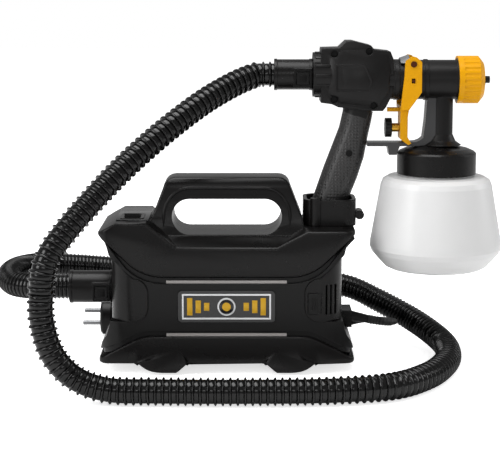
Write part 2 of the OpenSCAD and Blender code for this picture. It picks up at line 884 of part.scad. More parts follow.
hose_ref = [0.5, -0.6, 0.62];
hose_sides = 8;
hose_r = hose_d / 2;
hose_bore_r = hose_r - rib_depth - 1.3;
hose_points = station_points(hose_route, 14, 2 * rib_count);
hose_length = run_sums(hose_points)[2 * rib_count];

module hose() {
    last = 2 * rib_count;
    outer = [for (i = [0 : last]) each ring(hose_points[i], way(hose_points, i), hose_ref,
        i % 2 == 1 ? hose_r : hose_r - rib_depth, hose_sides)];
    inner = [for (i = [0 : 4 : last])
        each ring(hose_points[i], way(hose_points, i), hose_ref, hose_bore_r, hose_sides)];
    inner_rings = len(inner) / hose_sides;
    first = (last + 1) * hose_sides;
    end_out = last * hose_sides;
    end_in = first + (inner_rings - 1) * hose_sides;
    color(black) in_frame() polyhedron(concat(outer, inner), concat(
        side_faces(last + 1, hose_sides, 0, true),
        side_faces(inner_rings, hose_sides, first, false),
        rim_faces(0, first, false),
        rim_faces(end_out, end_in, true)
    ), convexity = 10);
}

function rim_faces(out, inner, flip) =
    [for (k = [0 : hose_sides - 1], half = [0, 1])
        let (n = (k + 1) % hose_sides,
             tri = half == 0 ? [out + k, out + n, inner + n] : [out + k, inner + n, inner + k])
        flip ? [tri[2], tri[1], tri[0]] : tri];

module solid_tube(points, r, sides, ref) {
    n = len(points);
    rings = [for (i = [0 : n - 1]) each ring(points[i], way(points, i), ref, r, sides)];
    polyhedron(rings, concat(
        side_faces(n, sides, 0, true),
        end_fan(sides, 0, true),
        end_fan(sides, (n - 1) * sides, false)
    ), convexity = 10);
}

cord_ref = [0.35, 0.4, 0.85];
cord_sides = 8;
module cord_start() {
    color(black) in_frame()
        solid_tube(station_points(cord_start_route, 10, 18), cord_d / 2, cord_sides, cord_ref);
}

module cord_end() {
    color(black) in_frame()
        solid_tube(station_points(cord_end_route, 10, 10), cord_d / 2, cord_sides, cord_ref);
}

// One loop of the hank is a near run, a left fold, a far run and a right fold.
loop_rings = 24;
fold_rings = 9;
run_rings = 3;
function loop_at(u) =
    u < run_rings ? [hank_run / 2 - hank_run * u / run_rings, -1, 0]
    : u < run_rings + fold_rings ? [-hank_run / 2, 0, 180 * (u - run_rings) / fold_rings]
    : u < 2 * run_rings + fold_rings
        ? [-hank_run / 2 + hank_run * (u - run_rings - fold_rings) / run_rings, 1, 0]
    : [hank_run / 2, 0, 180 + 180 * (u - 2 * run_rings - fold_rings) / fold_rings];
function hank_point(i) =
    let (turn = i / loop_rings, u = i % loop_rings, spot = loop_at(u), half = hank_loops,
         fall = turn < half ? turn : 2 * half - turn,
         r = hank_out_r - hank_pitch * fall,
         climb = min(1, max(0, (i - half * loop_rings) / run_rings)),
         z = cord_low + hank_pitch * climb,
         x = spot[1] != 0 ? spot[0] : spot[0] - r * sin(spot[2]),
         y = spot[1] != 0 ? spot[1] * r : -r * cos(spot[2]))
    [hank_x + x, hank_y + y, z];
hank_points = concat([for (i = [0 : 2 * hank_loops * loop_rings]) hank_point(i)], [cord_end_route[0]]);

module cord_hank() {
    color(black) in_frame() solid_tube(hank_points, cord_d / 2, 6, cord_ref);
}

function point_gap(p, skip) =
    min([for (i = [0 : len(p) - 1], j = [i + skip : 1 : len(p) - 1]) norm(p[i] - p[j])]);
echo(hose_length = hose_length, hose_gap = point_gap(station_points(hose_route, 14, 60), 4) - hose_d);
hank_length = run_sums(hank_points)[len(hank_points) - 1];
echo(hank_gap = point_gap(hank_points, 6) - cord_d, hank_length = hank_length);
echo(frame_x = frame_x, gun_x = gun_x, gun_z = gun_z);

module hank_tie() {
    r = hank_out_r + cord_d / 2 + 1;
    top = hank_top + cord_d / 2 + 0.5;
    color(soft_black) in_frame() difference() {
        box(hank_x - 8, hank_x + 8, hank_y - r - 1.4, hank_y + r + 1.4, 0, top + 1.4);
        box(hank_x - 9, hank_x + 9, hank_y - r, hank_y + r, -over, top);
    }
}

// ---- plug on the end of the cord
pin_spread = 19;
stem_r = pin_d / 2 - 0.5;
stem_len = 9.5;
plug_roll = 30;
module plug_body() {
    color(black) in_frame() translate([plug_x, plug_y, plug_d / 2]) difference() {
        rotate([0, 90, 0]) rotate_extrude($fn = smooth) polygon([
            [0, 0], [plug_d / 2 - 2, 0], [plug_d / 2, 2], [plug_d / 2, 11], [plug_d / 2 - 2, 15],
            [12, 20], [11, 30], [6.5, 33], [cord_d / 2 + 1, plug_body_len], [0, plug_body_len]
        ]);
        for (s = [-1, 1]) rotate([plug_roll, 0, 0])
            rod_x(-over, stem_len + 0.5, stem_r + 0.02, s * pin_spread / 2, 0, small);
    }
}

module plug_pins() {
    color(steel) in_frame() translate([plug_x, plug_y, plug_d / 2]) rotate([plug_roll, 0, 0])
        for (s = [-1, 1]) {
            rod_x(-pin_len, 0, pin_d / 2, s * pin_spread / 2, 0, small);
            rod_x(-over, stem_len, stem_r, s * pin_spread / 2, 0, small);
        }
}

// ---- hose cuffs
spigot_r = nozzle_r;
button_w = 12;
module cuff(x0, x1, d, button_x) {
    r = d / 2;
    difference() {
        union() {
            rod_x(x0, x1, r);
            for (x = [x0, x1 - 3]) rod_x(x, x + 3, r + 0.6);
            intersection() {
                box(button_x - 9, button_x + 9, -r - 1.2, 0, -11, 7);
                rod_x(x0, x1, r + 1.2);
            }
        }
        rod_x(x0 - over, x1 + over, hose_bore_r);
        button_pocket(button_x, r);
    }
}

module button_pocket(x, r) {
    c = button_w / 2 + fit;
    box(x - c, x + c, -r - 2, -r + 3.6, -3 - c, -3 + c);
}

module cuff_button(x, r) {
    c = button_w / 2;
    box(x - c, x + c, -r - 1.6, -r + 1.6, -3 - c, -3 + c);
}

base_button_x = outlet_face - 11;
module base_cuff() {
    color(black) in_frame() translate([0, 0, outlet_z]) {
        difference() {
            union() {
                cuff(base_cuff_x0, outlet_face - 0.3, base_cuff_d, base_button_x);
                rod_x(outlet_face - 1.3, outlet_face + 9, spigot_r);
            }
            rod_x(base_cuff_x0 - over, outlet_face + 10, hose_bore_r);
            button_pocket(base_button_x, base_cuff_d / 2);
        }
    }
}

module base_cuff_button() {
    color(soft_black) in_frame() translate([0, 0, outlet_z]) cuff_button(base_button_x, base_cuff_d / 2);
}

gun_back = -36;
module gun_cuff() {
    color(black) in_gun() translate([0, 0, cuff_up]) {
        difference() {
            union() {
                cuff(gun_cuff_x0, gun_back - 0.3, gun_cuff_d, gun_back - 10);
                rod_x(gun_back - 1.3, gun_back + 9, spigot_r);
            }
            rod_x(gun_cuff_x0 - over, gun_back + 10, hose_bore_r);
            button_pocket(gun_back - 10, gun_cuff_d / 2);
        }
    }
}

module gun_cuff_button() {
    color(soft_black) in_gun() translate([0, 0, cuff_up]) cuff_button(gun_back - 10, gun_cuff_d / 2);
}

// ---- gun housing: a chamfered body with a leaning handle, split along the middle
gun_half = gun_t / 2;
body_pts = [[-28.5, 29], [-28, 31.5], [-10.5, 32], [-3.5, 38.6], [2.5, 38.6], [20, 34.2], [23.5, 30],
            [39, 28.4], [42, 21], [42.5, -6], [40.5, -15], [35, -26], [32, -29.7], [22, -29.7],
            [-11.5, -26], [-18, -23], [-28.5, -21.6]];
cheek_pts = [[-20, 22], [-9, 29], [19, 30], [36, 24], [39, 10], [38, -10], [28, -25], [-10, -22], [-22, -12]];
cheek_in = [[-13, 16], [17, 18], [29, 11], [30, -7], [21, -17], [-10, -15], [-15, -4]];
grip_rows = [[9, -27, 15.5, 15], [8, -36, 15, 15], [4.5, -52, 15, 16], [-1, -72, 17, 16.5],
             [-8, -92, 17.6, 16.5], [-23.5, -133.8, 16.6, 15]];

module grip_disc(row, inset) {
    translate([row[0], 0, row[1]]) rotate([0, lean, 0])
        scale([row[2] - inset, row[3] - inset, 1]) cylinder(h = 1, r = 1, $fn = form_fn);
}

module grip_solid(inset) {
    for (i = [0 : len(grip_rows) - 2]) hull() {
        grip_disc(grip_rows[i], inset);
        grip_disc(grip_rows[i + 1], inset);
    }
}

module cheek(y0, y1, pts_in, side) {
    hull() {
        slab(side * y0 - 0.5, side * y0 + 0.5) polygon(cheek_pts);
        slab(side * y1 - 0.5, side * y1 + 0.5) polygon(pts_in);
    }
}

module gun_body(side) {
    edge = gun_half - 6;
    difference() {
        union() {
            slab(-edge, edge) polygon(body_pts);
            cheek(edge, gun_half - 0.5, cheek_in, side);
            rod_x(gun_back, -17, 22, 0, cuff_up);
            grip_solid(0);
        }
        slab(side * (gun_half - 1.2) - 0.7, side * (gun_half - 1.2) + 3)
            polygon([[-8, 12], [14, 13], [24, 7], [25, -5], [17, -13], [-7, -11]]);
        gun_cavity();
    }
}

module gun_cavity() {
    wall = 2.6;
    translate([0, 0, cuff_up]) rod_x(gun_back - over, -18, spigot_r + fit);
    translate([0, 0, cuff_up]) rod_x(-20, 0, 18);
    slab(-gun_half + 6 + wall, gun_half - 6 - wall)
        polygon([[-18, 20], [-4, 29], [17, 29], [34.5, 24], [38, 4], [35, -14], [28, -25], [20, -27],
                 [-4, -23], [-18, -14]]);
    rod_x(barrel_back - 2, 50, barrel_r + fit);
    hull() {
        grip_disc([10, -30, 9.5, 12], 0);
        grip_disc([-18, -118, 12, 12], 0);
    }
    slab(-4.5, 4.5) polygon([[14, -32], [40, -32], [40, -19.5], [14, -19.5]]);
}

gun_screw_spots = [[-15.5, 26], [18, 28.5], [-15.5, -18], [23, -24], [-0.5, -71.5]];
module gun_half_shell(side) {
    difference() {
        union() {
            gun_body(side);
            for (s = gun_screw_spots) flip_y(side) rod_y(0, gun_half - 8, 4, s[0], s[1]);
        }
        box(-60, 60, side < 0 ? 0 : -60, side < 0 ? 60 : 0, -150, 60);
        for (s = gun_screw_spots) {
            rod_y(-gun_half, 10, screw_r + fit, s[0], s[1]);
            rod_y(-gun_half - over, -gun_half + 10, screw_head_r + 0.2, s[0], s[1]);
        }
    }
}

module gun_shell_near() {
    color(black) in_gun() gun_half_shell(-1);
}

module gun_shell_far() {
    color(black) in_gun() gun_half_shell(1);
}

module gun_screws() {
    color(steel) in_gun() for (s = gun_screw_spots) {
        rod_y(-gun_half + 10, 9.5, screw_r, s[0], s[1]);
        rod_y(-gun_half + 8, -gun_half + 10, screw_head_r, s[0], s[1]);
    }
}

module air_tube() {
    color("#3c3c40") in_gun() difference() {
        union() {
            rod_x(-26, 24, spigot_r, 0, cuff_up);
            rod_x(20, barrel_back - 0.2, 16);
        }
        rod_x(-27, 23, spigot_r - can_t, 0, cuff_up);
        rod_x(19, barrel_back + over, 11);
    }
}

// ---- spray head
bore_r = 11;
seat_z = lid_top + lid_crown_h + seat_gap;
spring_x0 = 47.5;
spring_r = 4.6;
pin_slot = 4.6;
module spray_head() {
    color(black) in_gun() difference() {
        union() {
            rod_x(barrel_back, barrel_front, barrel_r);
            rod_x(44, 48.5, barrel_r + 0.6);
            rod_x(73.5, 77, barrel_r + 0.8);
            rod_x(barrel_front - 6, barrel_front - 2, barrel_r + 1.5);
            translate([down_x, 0, seat_z]) cylinder(h = -seat_z, r = down_d / 2, $fn = smooth);
            tube_flare(0);
        }
        rod_x(barrel_back - over, spring_x0 - 3.5, bore_r);
        rod_x(barrel_back, barrel_front + over, needle_r + fit);
        rod_x(spring_x0, 74, spring_r + 0.4);
        rod_x(spring_x0 - 4, nozzle_x0 + 1, 3.5, 0, 9.5);
        rod_x(80, barrel_front - 8, 4);
        rod_x(nozzle_x0, barrel_front + over, 9);
        translate([down_x, 0, lid_top]) cylinder(h = -lid_top, r = 4, $fn = small);
        box(pivot_x - pin_slot - 2, pivot_x + 2.2, -barrel_r - 5, barrel_r + 5, -2, 2);
        for (s = [-1, 1]) flip_y(s) rod_y(barrel_r - 12, barrel_r + 3, pivot_r + fit, pivot_x, pivot_up);
    }
}

// The down tube widens in two steps where it stands on the lid.
module tube_flare(grow) {
    r = down_d / 2 + grow;
    translate([down_x, 0, seat_z - grow]) cylinder(h = 4 + grow, r1 = r + 8.5, r2 = r + 3, $fn = smooth);
    translate([down_x, 0, seat_z + 4]) cylinder(h = 6, r1 = r + 3, r2 = r + 0.3, $fn = smooth);
}

module trigger_guard() {
    color(soft_black) in_gun() difference() {
        slab(-guard_y, guard_y) polygon([
            [18, -61.5], [60, -61.5], [66, -61], [70, -59.5], [73, -57], [75, -41], [76.5, -18], [76.5, -12],
            [88, -12], [88, -60], [80, -64.5], [70, -65.5], [58, -65.2], [50, -65.4], [47, -74],
            [39.5, -74], [38, -65.4], [18, -65.4]
        ]);
        grip_solid(-0.2);
        rod_x(0, barrel_front, barrel_r + fit);
        rod_x(73, 77.5, barrel_r + 0.9);
        translate([down_x, 0, -80]) cylinder(h = 80, r = down_d / 2 + fit, $fn = smooth);
        tube_flare(fit);
        lid_clear();
    }
}

module lid_clear() {
    translate([lid_x, 0, lid_top + 0.3]) rotate_extrude($fn = smooth)
        polygon([each lid_crown(0.3), [lid_d / 2 + 0.3, -lid_h], [0, -lid_h]]);
}

// ---- trigger and what it moves
fork_pts = [[53.3, 19.5], [60, 24], [64, 23], [69.3, 18.5], [69.4, -11], [66.4, -15.6], [57.2, -28.5],
            [49.6, -28.5], [49.4, -23], [50.6, -12], [52.4, 4], [52.8, 14]];
lever_pts = [[49.8, -22], [64, -22], [58.5, -28], [57.3, -36], [57.3, -56], [61, -62.5],
             [58, -64], [50, -58]];
module trigger() {
    y1 = fork_y + trigger_t;
    color(yellow) in_gun() difference() {
        union() {
            slab(-y1, y1) polygon(fork_pts);
            slab(-lever_y, lever_y) polygon(lever_pts);
            slab(-2.5, 2.5) polygon([[38, -31.6], [51, -31.6], [51, -27.5], [38, -27.5]]);
        }
        slab(-fork_y, fork_y) polygon([[44, 40], [80, 40], [80, bridge_z], [44, bridge_z]]);
        slab(-guard_y - 0.6, guard_y + 0.6) polygon([[48, -80], [70, -80], [70, -59], [48, -59]]);
        for (s = [-1, 1]) flip_y(s) {
            rod_y(15, 30, pivot_r + running, pivot_x, pivot_up);
            box(pivot_x - 1.75, pivot_x + 1.75, 15, 30, -2.3, 2.3);
        }
        rod_x(46, 62, 2.6, 0, knob_z);
    }
}

module trigger_screws() {
    y1 = fork_y + trigger_t + 0.2;
    color(steel) in_gun() for (s = [-1, 1]) {
        flip_y(s) rod_y(barrel_r - 11.5, y1, pivot_r, pivot_x, pivot_up);
        flip_y(s) rod_y(y1, y1 + 1.2, 3, pivot_x, pivot_up);
    }
}

module trigger_bail() {
    color(grey) in_gun() difference() {
        translate([49.5, 0, 0]) rotate([0, 90, 0])
            cylinder(h = 8.5, r1 = barrel_r + 2.2, r2 = barrel_r + 5.2, $fn = smooth);
        rod_x(48, 60, barrel_r + 0.2);
        box(48, 60, -40, 40, -40, 17);
    }
}

module needle() {
    color(steel) in_gun() {
        rod_x(needle_x0, barrel_front + 26, needle_r);
        rod_x(58.5, 60.5, 4.5);
        rod_y(-fork_y - trigger_t - 1, fork_y + trigger_t + 1, 1.6, pivot_x, 0);
        rod_x(pivot_x - 3, pivot_x + 3, 3);
    }
}

module needle_spring() {
    color(steel) in_gun() tube_x(spring_x0 + 0.1, 58.4, spring_r, 3.2);
}

module fluid_nozzle() {
    color(brass) in_gun() difference() {
        union() {
            rod_x(nozzle_x0 + seat_gap, barrel_front + 10, 8.8);
            rod_x(barrel_front + 9, barrel_front + 17, 4.5);
        }
        rod_x(nozzle_x0 - over, barrel_front + 18, needle_r + fit);
    }
}

cap_x = barrel_front + 6;
nut_lip_x = nut_end - 5;
module air_cap() {
    color(black) in_gun() difference() {
        union() {
            rod_x(cap_x, nut_lip_x - seat_gap, 19);
            rod_x(cap_x, nut_end - 0.6, 16.2);
            for (s = [-1, 1]) box(cap_x + 12, nut_end + 0.6, s * 12 - 3, s * 12 + 3, -4, 4);
            rod_x(cap_x + 12, nut_end + 6, tip_r - 1);
            rod_x(nut_end + 2.5, nut_end + 7, tip_r);
        }
        rod_x(cap_x - over, cap_x + 8, 9.2);
        rod_x(cap_x, nut_end - 2.2, 4.9);
        rod_x(cap_x, nut_end + 8, needle_r + 0.4);
    }
}

module nozzle_nut() {
    r = nut_d / 2;
    flutes = 24;
    taper = 4.8;
    scallop_r = 2.6;
    color(yellow) in_gun() difference() {
        union() {
            rod_x(nut_x, nut_end - taper, r);
            translate([nut_end - taper, 0, 0]) rotate([0, 90, 0])
                cylinder(h = taper, r1 = r, r2 = r - 6, $fn = smooth);
        }
        rod_x(nut_x - over, barrel_front + 1, barrel_r + 1.8);
        rod_x(nut_x - over, nut_lip_x, 19.3);
        rod_x(nut_x, nut_end + over, 16.5);
        for (i = [0 : flutes - 1]) rotate([i * 360 / flutes, 0, 0])
            rod_x(nut_x + 5.5, nut_end + over, scallop_r, 0, r + scallop_r - 0.8, small);
    }
}

module flow_knob() {
    color(brass) in_gun() translate([0, 0, knob_z]) {
        rod_x(41.5, 49.4, 4.3);
        rod_x(49, 56.8, 2.5, 0, 0, small);
        difference() {
            rod_x(36, 42.3, 9.5);
            for (i = [0 : 11]) rotate([i * 30, 0, 0]) rod_x(35, 43, 1.2, 9.9, 0, small);
        }
    }
}

// ---- lid, cup and suction tube
thread_r = lid_d / 2 - 3;
function lid_crown(grow) =
    [[0, lid_crown_h], [15 + grow, lid_crown_h], [lid_d / 2 - 8 + grow, 3],
     [lid_d / 2 - 2 + grow, 0.4], [lid_d / 2 + grow, -1.6]];
module cup_lid() {
    color(black) in_gun() translate([lid_x, 0, lid_top]) difference() {
        rotate_extrude($fn = smooth) polygon([
            each lid_crown(0), [lid_d / 2, -lid_h], [thread_r, -lid_h], [thread_r, -4], [0, -4]
        ]);
        translate([down_x - lid_x, 0, -5]) cylinder(h = 20, r = 5.2, $fn = small);
    }
}

module cup_gasket() {
    color("#dcdcdc") in_gun() translate([lid_x, 0, lid_top - 5.5]) difference() {
        cylinder(h = 1.4, r = thread_r - 0.3, $fn = smooth);
        translate([0, 0, -over]) cylinder(h = 4, r = thread_r - 6, $fn = smooth);
    }
}

module cup() {
    neck = thread_r - 0.4;
    shoulder = cup_shoulder_d / 2;
    widest = cup_d / 2;
    base_r = cup_floor_d / 2;
    w = cup_wall;
    color(paint_white) in_gun() translate([lid_x, 0, lid_top]) rotate_extrude($fn = smooth) polygon([
        [neck, -5.7], [neck, -lid_h - 0.5], [neck + 1, -lid_h - 2], [shoulder - 7, -25], [shoulder - 2, -28],
        [shoulder, -33], [widest - 0.5, -90], [widest, -95], [widest - 2, -100], [widest - 8, -107],
        [base_r + 2, -cup_h + 2], [base_r - 2, -cup_h], [0, -cup_h], [0, -cup_h + w],
        [base_r - 3, -cup_h + w], [base_r, -cup_h + w + 2],
        [widest - 9.5, -105.5], [widest - 2 - w, -99], [widest - w, -95], [widest - 0.5 - w, -90],
        [shoulder - w, -33], [shoulder - 3 - w, -29.5], [neck - w, -25], [neck - w, -5.7]
    ]);
}

module suction_tube() {
    color(paint_white) in_gun() translate([down_x, 0, 0]) difference() {
        translate([0, 0, lid_top - 104]) cylinder(h = 120, r = 3.9, $fn = small);
        translate([0, 0, lid_top - 105]) cylinder(h = 122, r = 2.6, $fn = small);
    }
}

top_shell_front();
top_shell_back();
mid_shell_front();
mid_shell_back();
bottom_tray();
rubber_feet();
trim_strips();
badge_plate();
outlet_cover();
filter_cover();
cover_latch();
air_filter();
switch_body();
power_switch();
gun_holder();
holder_screws();
side_clip();
outlet_socket();
fan_housing();
impeller();
motor_can();
motor_shaft();
motor_bearings();
motor_mounts();
base_screws();
cord_gland();
hose();
base_cuff();
base_cuff_button();
gun_cuff();
gun_cuff_button();
cord_start();
cord_hank();
cord_end();
hank_tie();
plug_body();
plug_pins();
gun_shell_near();
gun_shell_far();
gun_screws();
air_tube();
spray_head();
trigger_guard();
trigger();
trigger_screws();
trigger_bail();
needle();
needle_spring();
fluid_nozzle();
air_cap();
nozzle_nut();
flow_knob();
cup_lid();
cup_gasket();
cup();
suction_tube();
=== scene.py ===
"""Looks of a turbine paint sprayer: base unit, ribbed air hose, spray gun and mains cord."""
import json
import math
import bpy
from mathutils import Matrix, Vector


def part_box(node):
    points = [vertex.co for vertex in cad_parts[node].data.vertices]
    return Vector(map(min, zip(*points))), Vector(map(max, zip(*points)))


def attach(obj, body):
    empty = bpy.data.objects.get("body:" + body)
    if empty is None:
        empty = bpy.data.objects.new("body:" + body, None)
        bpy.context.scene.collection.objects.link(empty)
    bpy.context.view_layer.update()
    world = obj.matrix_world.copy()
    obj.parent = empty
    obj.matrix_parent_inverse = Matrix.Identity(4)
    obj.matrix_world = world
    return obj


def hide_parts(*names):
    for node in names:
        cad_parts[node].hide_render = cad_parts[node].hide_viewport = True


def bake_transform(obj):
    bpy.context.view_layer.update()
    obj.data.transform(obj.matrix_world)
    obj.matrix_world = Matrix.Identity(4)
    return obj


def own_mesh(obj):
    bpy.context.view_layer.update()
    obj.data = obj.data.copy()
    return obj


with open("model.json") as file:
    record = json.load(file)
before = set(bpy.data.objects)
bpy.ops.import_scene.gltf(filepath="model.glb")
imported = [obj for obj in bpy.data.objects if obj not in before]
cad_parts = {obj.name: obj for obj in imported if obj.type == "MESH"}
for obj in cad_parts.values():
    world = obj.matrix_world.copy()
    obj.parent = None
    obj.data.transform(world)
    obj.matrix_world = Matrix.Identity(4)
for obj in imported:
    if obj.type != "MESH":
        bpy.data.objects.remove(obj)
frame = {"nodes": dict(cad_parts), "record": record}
NODES = frame["nodes"]
BODY_OF = {n: b for b, group in frame["record"]["behaviour"]["bodies"].items() for n in group}
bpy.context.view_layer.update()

MM = 0.001


def box_middle(node):
    low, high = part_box(node)
    return (low + high) / 2


# ---- places, in metres
BASE_X = box_middle("bottom_tray").x
BASE_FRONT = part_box("top_shell_front")[0].y
BASE_HALF_WIDTH = (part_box("bottom_tray")[1].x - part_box("bottom_tray")[0].x) / 2
OUTLET_Z = 0.075
HOUSING_TO_HEAD = 0.037
GUN_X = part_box("spray_head")[0].x - HOUSING_TO_HEAD
GUN_Z = box_middle("nozzle_nut").z
COLLAR_RISE = 0.005
CORD_R = 0.0031
HOSE_R = 0.0123


def at_base(x, y, z):
    """A point given from the middle of the base's underside."""
    return Vector((BASE_X + x, y, z))


def at_gun(x, y, z):
    """A point given from the middle of the gun's housing, on the barrel's axis."""
    return Vector((GUN_X + x, y, GUN_Z + z))


# ---- camera
def add_camera():
    """A long lens in front of the machine, a little above it and looking slightly down."""
    eye = Vector((-0.0352, -1.380, 0.375))
    down = math.radians(6.7)
    camera = bpy.data.objects.new("studio_camera", bpy.data.cameras.new("studio_camera"))
    camera.location = eye
    camera.rotation_euler = (math.pi / 2 - down, 0, 0)
    camera.data.lens = 100.7
    camera.data.sensor_width = 36
    camera.data.shift_y = -0.15
    camera.data.clip_end = 20
    bpy.context.scene.collection.objects.link(camera)
    bpy.context.scene.camera = camera


add_camera()


# ---- materials: each is a Principled surface with its own grain
def linear(hex_colour):
    """An sRGB hex colour as linear values."""
    parts = [int(hex_colour[i:i + 2], 16) / 255 for i in (1, 3, 5)]
    return [c / 12.92 if c <= 0.04045 else ((c + 0.055) / 1.055) ** 2.4 for c in parts] + [1.0]


def node_in(tree, kind, settings=None, links=None):
    """Adds one shader node. Settings fill properties or sockets; links give sockets a source."""
    made = tree.nodes.new(kind)
    for key, value in (settings or {}).items():
        if isinstance(key, str) and hasattr(made, key):
            setattr(made, key, value)
        else:
            made.inputs[key].default_value = value
    for key, source in (links or {}).items():
        tree.links.new(source, made.inputs[key])
    return made


# Tint and roughness drift over patches of this size, by this much.
PATCH_MM = 45.0
PATCH_DRIFT = 0.05
GRAIN_DEPTH_MM = 0.2
DIMPLE_DEPTH_MM = 0.5
# A Mix node's colour sockets share their names with others, so they are taken by number.
MIX_SHARE, MIX_A, MIX_B, MIX_RESULT = 0, 6, 7, 2


def surface(name, colour, darker, roughness, metallic=0.0, grain_mm=0.8, grain=0.12,
            edge_mm=0.5, dimple_mm=0, sockets=None):
    """A surface with fine grain in its height, and tint and roughness that drift over it."""
    made = bpy.data.materials.new(name)
    made.use_nodes = True
    tree = made.node_tree
    shader = tree.nodes["Principled BSDF"]
    shader.inputs["Metallic"].default_value = metallic
    for key, value in (sockets or {}).items():
        shader.inputs[key].default_value = value
    place = node_in(tree, "ShaderNodeTexCoord").outputs["Object"]

    patches = node_in(tree, "ShaderNodeTexNoise",
                      {"Scale": 1 / (PATCH_MM * MM), "Detail": 4.0, "Roughness": 0.6},
                      {"Vector": place}).outputs["Fac"]
    rough = node_in(tree, "ShaderNodeMapRange",
                    {"To Min": max(0.02, roughness - PATCH_DRIFT),
                     "To Max": min(1.0, roughness + PATCH_DRIFT)}, {"Value": patches})
    tree.links.new(rough.outputs[0], shader.inputs["Roughness"])
    tint = node_in(tree, "ShaderNodeMix", {"data_type": "RGBA"}, {MIX_SHARE: patches})
    tint.inputs[MIX_A].default_value = linear(darker)
    tint.inputs[MIX_B].default_value = linear(colour)
    tree.links.new(tint.outputs[MIX_RESULT], shader.inputs["Base Color"])

    fine = node_in(tree, "ShaderNodeTexNoise", {"Scale": 1 / (grain_mm * MM), "Detail": 2.0},
                   {"Vector": place})
    height = node_in(tree, "ShaderNodeBump",
                     {"Strength": grain, "Distance": GRAIN_DEPTH_MM * MM},
                     {"Height": fine.outputs["Fac"]})
    if edge_mm:
        soft_edge = node_in(tree, "ShaderNodeBevel", {"samples": 4, "Radius": edge_mm * MM})
        tree.links.new(soft_edge.outputs["Normal"], height.inputs["Normal"])
    if dimple_mm:
        cells = node_in(tree, "ShaderNodeTexVoronoi",
                        {"Scale": 1 / (dimple_mm * MM), "Randomness": 0.15}, {"Vector": place})
        pit = node_in(tree, "ShaderNodeMapRange", {"From Min": 0.1, "From Max": 0.45},
                      {"Value": cells.outputs["Distance"]})
        height = node_in(tree, "ShaderNodeBump",
                         {"Strength": 0.9, "Distance": DIMPLE_DEPTH_MM * MM},
                         {"Height": pit.outputs[0], "Normal": height.outputs["Normal"]})
    tree.links.new(height.outputs["Normal"], shader.inputs["Normal"])
    return made


# Moulded black plastics give back little light straight on, and some give almost none.
DULL = {"Specular IOR Level": 0.2}
MATT = {"Specular IOR Level": 0.15}
# Spark-eroded ABS: black with a soft sheen, fine pits and shinier patches where it is handled.
black_abs = surface("black_abs", "#0f0e0e", "#0b0a0a", 0.28, grain_mm=0.7, edge_mm=1.6,
                    sockets=DULL)
# The waist panels are moulded in a slightly softer black.
waist_abs = surface("waist_abs", "#101010", "#0b0a0a", 0.34, grain_mm=0.7, grain=0.14,
                    edge_mm=1.0, sockets=DULL)
# Glass-filled nylon of the gun: greyer, with a coarser grain that scatters light.
gun_nylon = surface("gun_nylon", "#131212", "#100f0f", 0.36, grain_mm=0.9, grain=0.3,
                    edge_mm=1.2, sockets=DULL)
# The same nylon where the hand holds it, with rows of small pits and a lighter tint that is painted
# sheen of the pits catching light.
grip_nylon_painted_sheen = surface("grip_nylon_painted_sheen", "#242323", "#1b1a1a", 0.42, grain_mm=0.9, grain=0.3,
                     edge_mm=0, dimple_mm=3.2)
# Matt nylon, which hardly shines, on the lock buttons and in the sunk panels, where its darker tint
# is also painted shade of the recess.
matt_nylon_and_recess_shade = surface("matt_nylon_and_recess_shade", "#0b0a0a", "#080808", 0.6, grain_mm=0.9, grain=0.3,
                     edge_mm=0.4, sockets=MATT)
# The guard is moulded in a glossy nylon that shines; its grey colour is painted sheen.
nylon_with_painted_sheen = surface("nylon_with_painted_sheen", "#39393a", "#303031", 0.24, grain_mm=0.9, grain=0.15,
                       edge_mm=0.8)
# Dark glass-filled nylon of the fan and its housing.
fan_nylon = surface("fan_nylon", "#3d3e42", "#303135", 0.5, grain=0.2)
# Polished black polyethylene of the hose.
hose_plastic = surface("hose_plastic", "#050505", "#050505", 0.16, grain_mm=3.0, grain=0.08,
                       edge_mm=0, sockets={"Specular IOR Level": 0.32})
# Yellow acetal: clean, slightly waxy.
yellow_acetal = surface("yellow_acetal", "#dc9d00", "#d59400", 0.34, grain=0.1, edge_mm=0.8,
                        sockets={"Specular IOR Level": 0.16})
# Grey acetal hoop over the barrel.
grey_acetal = surface("grey_acetal", "#6c6d6f", "#616264", 0.38, grain=0.1)
# Natural high-density polyethylene of the cup: milky, waxy, lets light through.
milky_cup = surface("milky_cup", "#dcdcdc", "#d6d6d6", 0.3, grain_mm=1.5, grain=0.06, edge_mm=0,
                    sockets={"Subsurface Weight": 0.25, "Subsurface Scale": 0.5,
                             "Subsurface Radius": (0.012, 0.012, 0.012)})
# Silver hot-foil on the trim strips.
silver_foil = surface("silver_foil", "#a09c9a", "#969290", 0.42, metallic=0.35, grain_mm=0.5,
                      grain=0.1)
# Nickel-plated steel of pins, screws and needle.
nickel = surface("nickel", "#8f9092", "#828385", 0.38, metallic=1.0, grain_mm=0.4, grain=0.08,
                 edge_mm=0.2)
# Turned brass of the fluid nozzle and the flow stub.
brass = surface("brass", "#c79a3c", "#b98a30", 0.3, metallic=1.0, grain_mm=0.4, grain=0.1,
                edge_mm=0.2)
# The gun's screws are near black and matt: painted shade of the deep holes they sit in.
painted_screw_shade = surface("painted_screw_shade", "#060606", "#040404", 0.5, grain_mm=0.4, grain=0.08,
                      edge_mm=0.2, sockets=MATT)
# The trigger's screws and pin are steel; their red-brown colour is painted reflection of the yellow
# round them.
steel_with_painted_reflection = surface("steel_with_painted_reflection", "#5a2a12", "#43200e", 0.35, metallic=0.7, grain_mm=0.4,
                      grain=0.08, edge_mm=0.2)
# Moulded rubber of the feet and mounts.
rubber = surface("rubber", "#161616", "#101010", 0.75, grain_mm=0.6, grain=0.3)
# Soft PVC of the mains cord, with a low sheen.
cord_pvc = surface("cord_pvc", "#0f0f10", "#0f0f10", 0.42, grain_mm=1.2, grain=0.1, edge_mm=0)
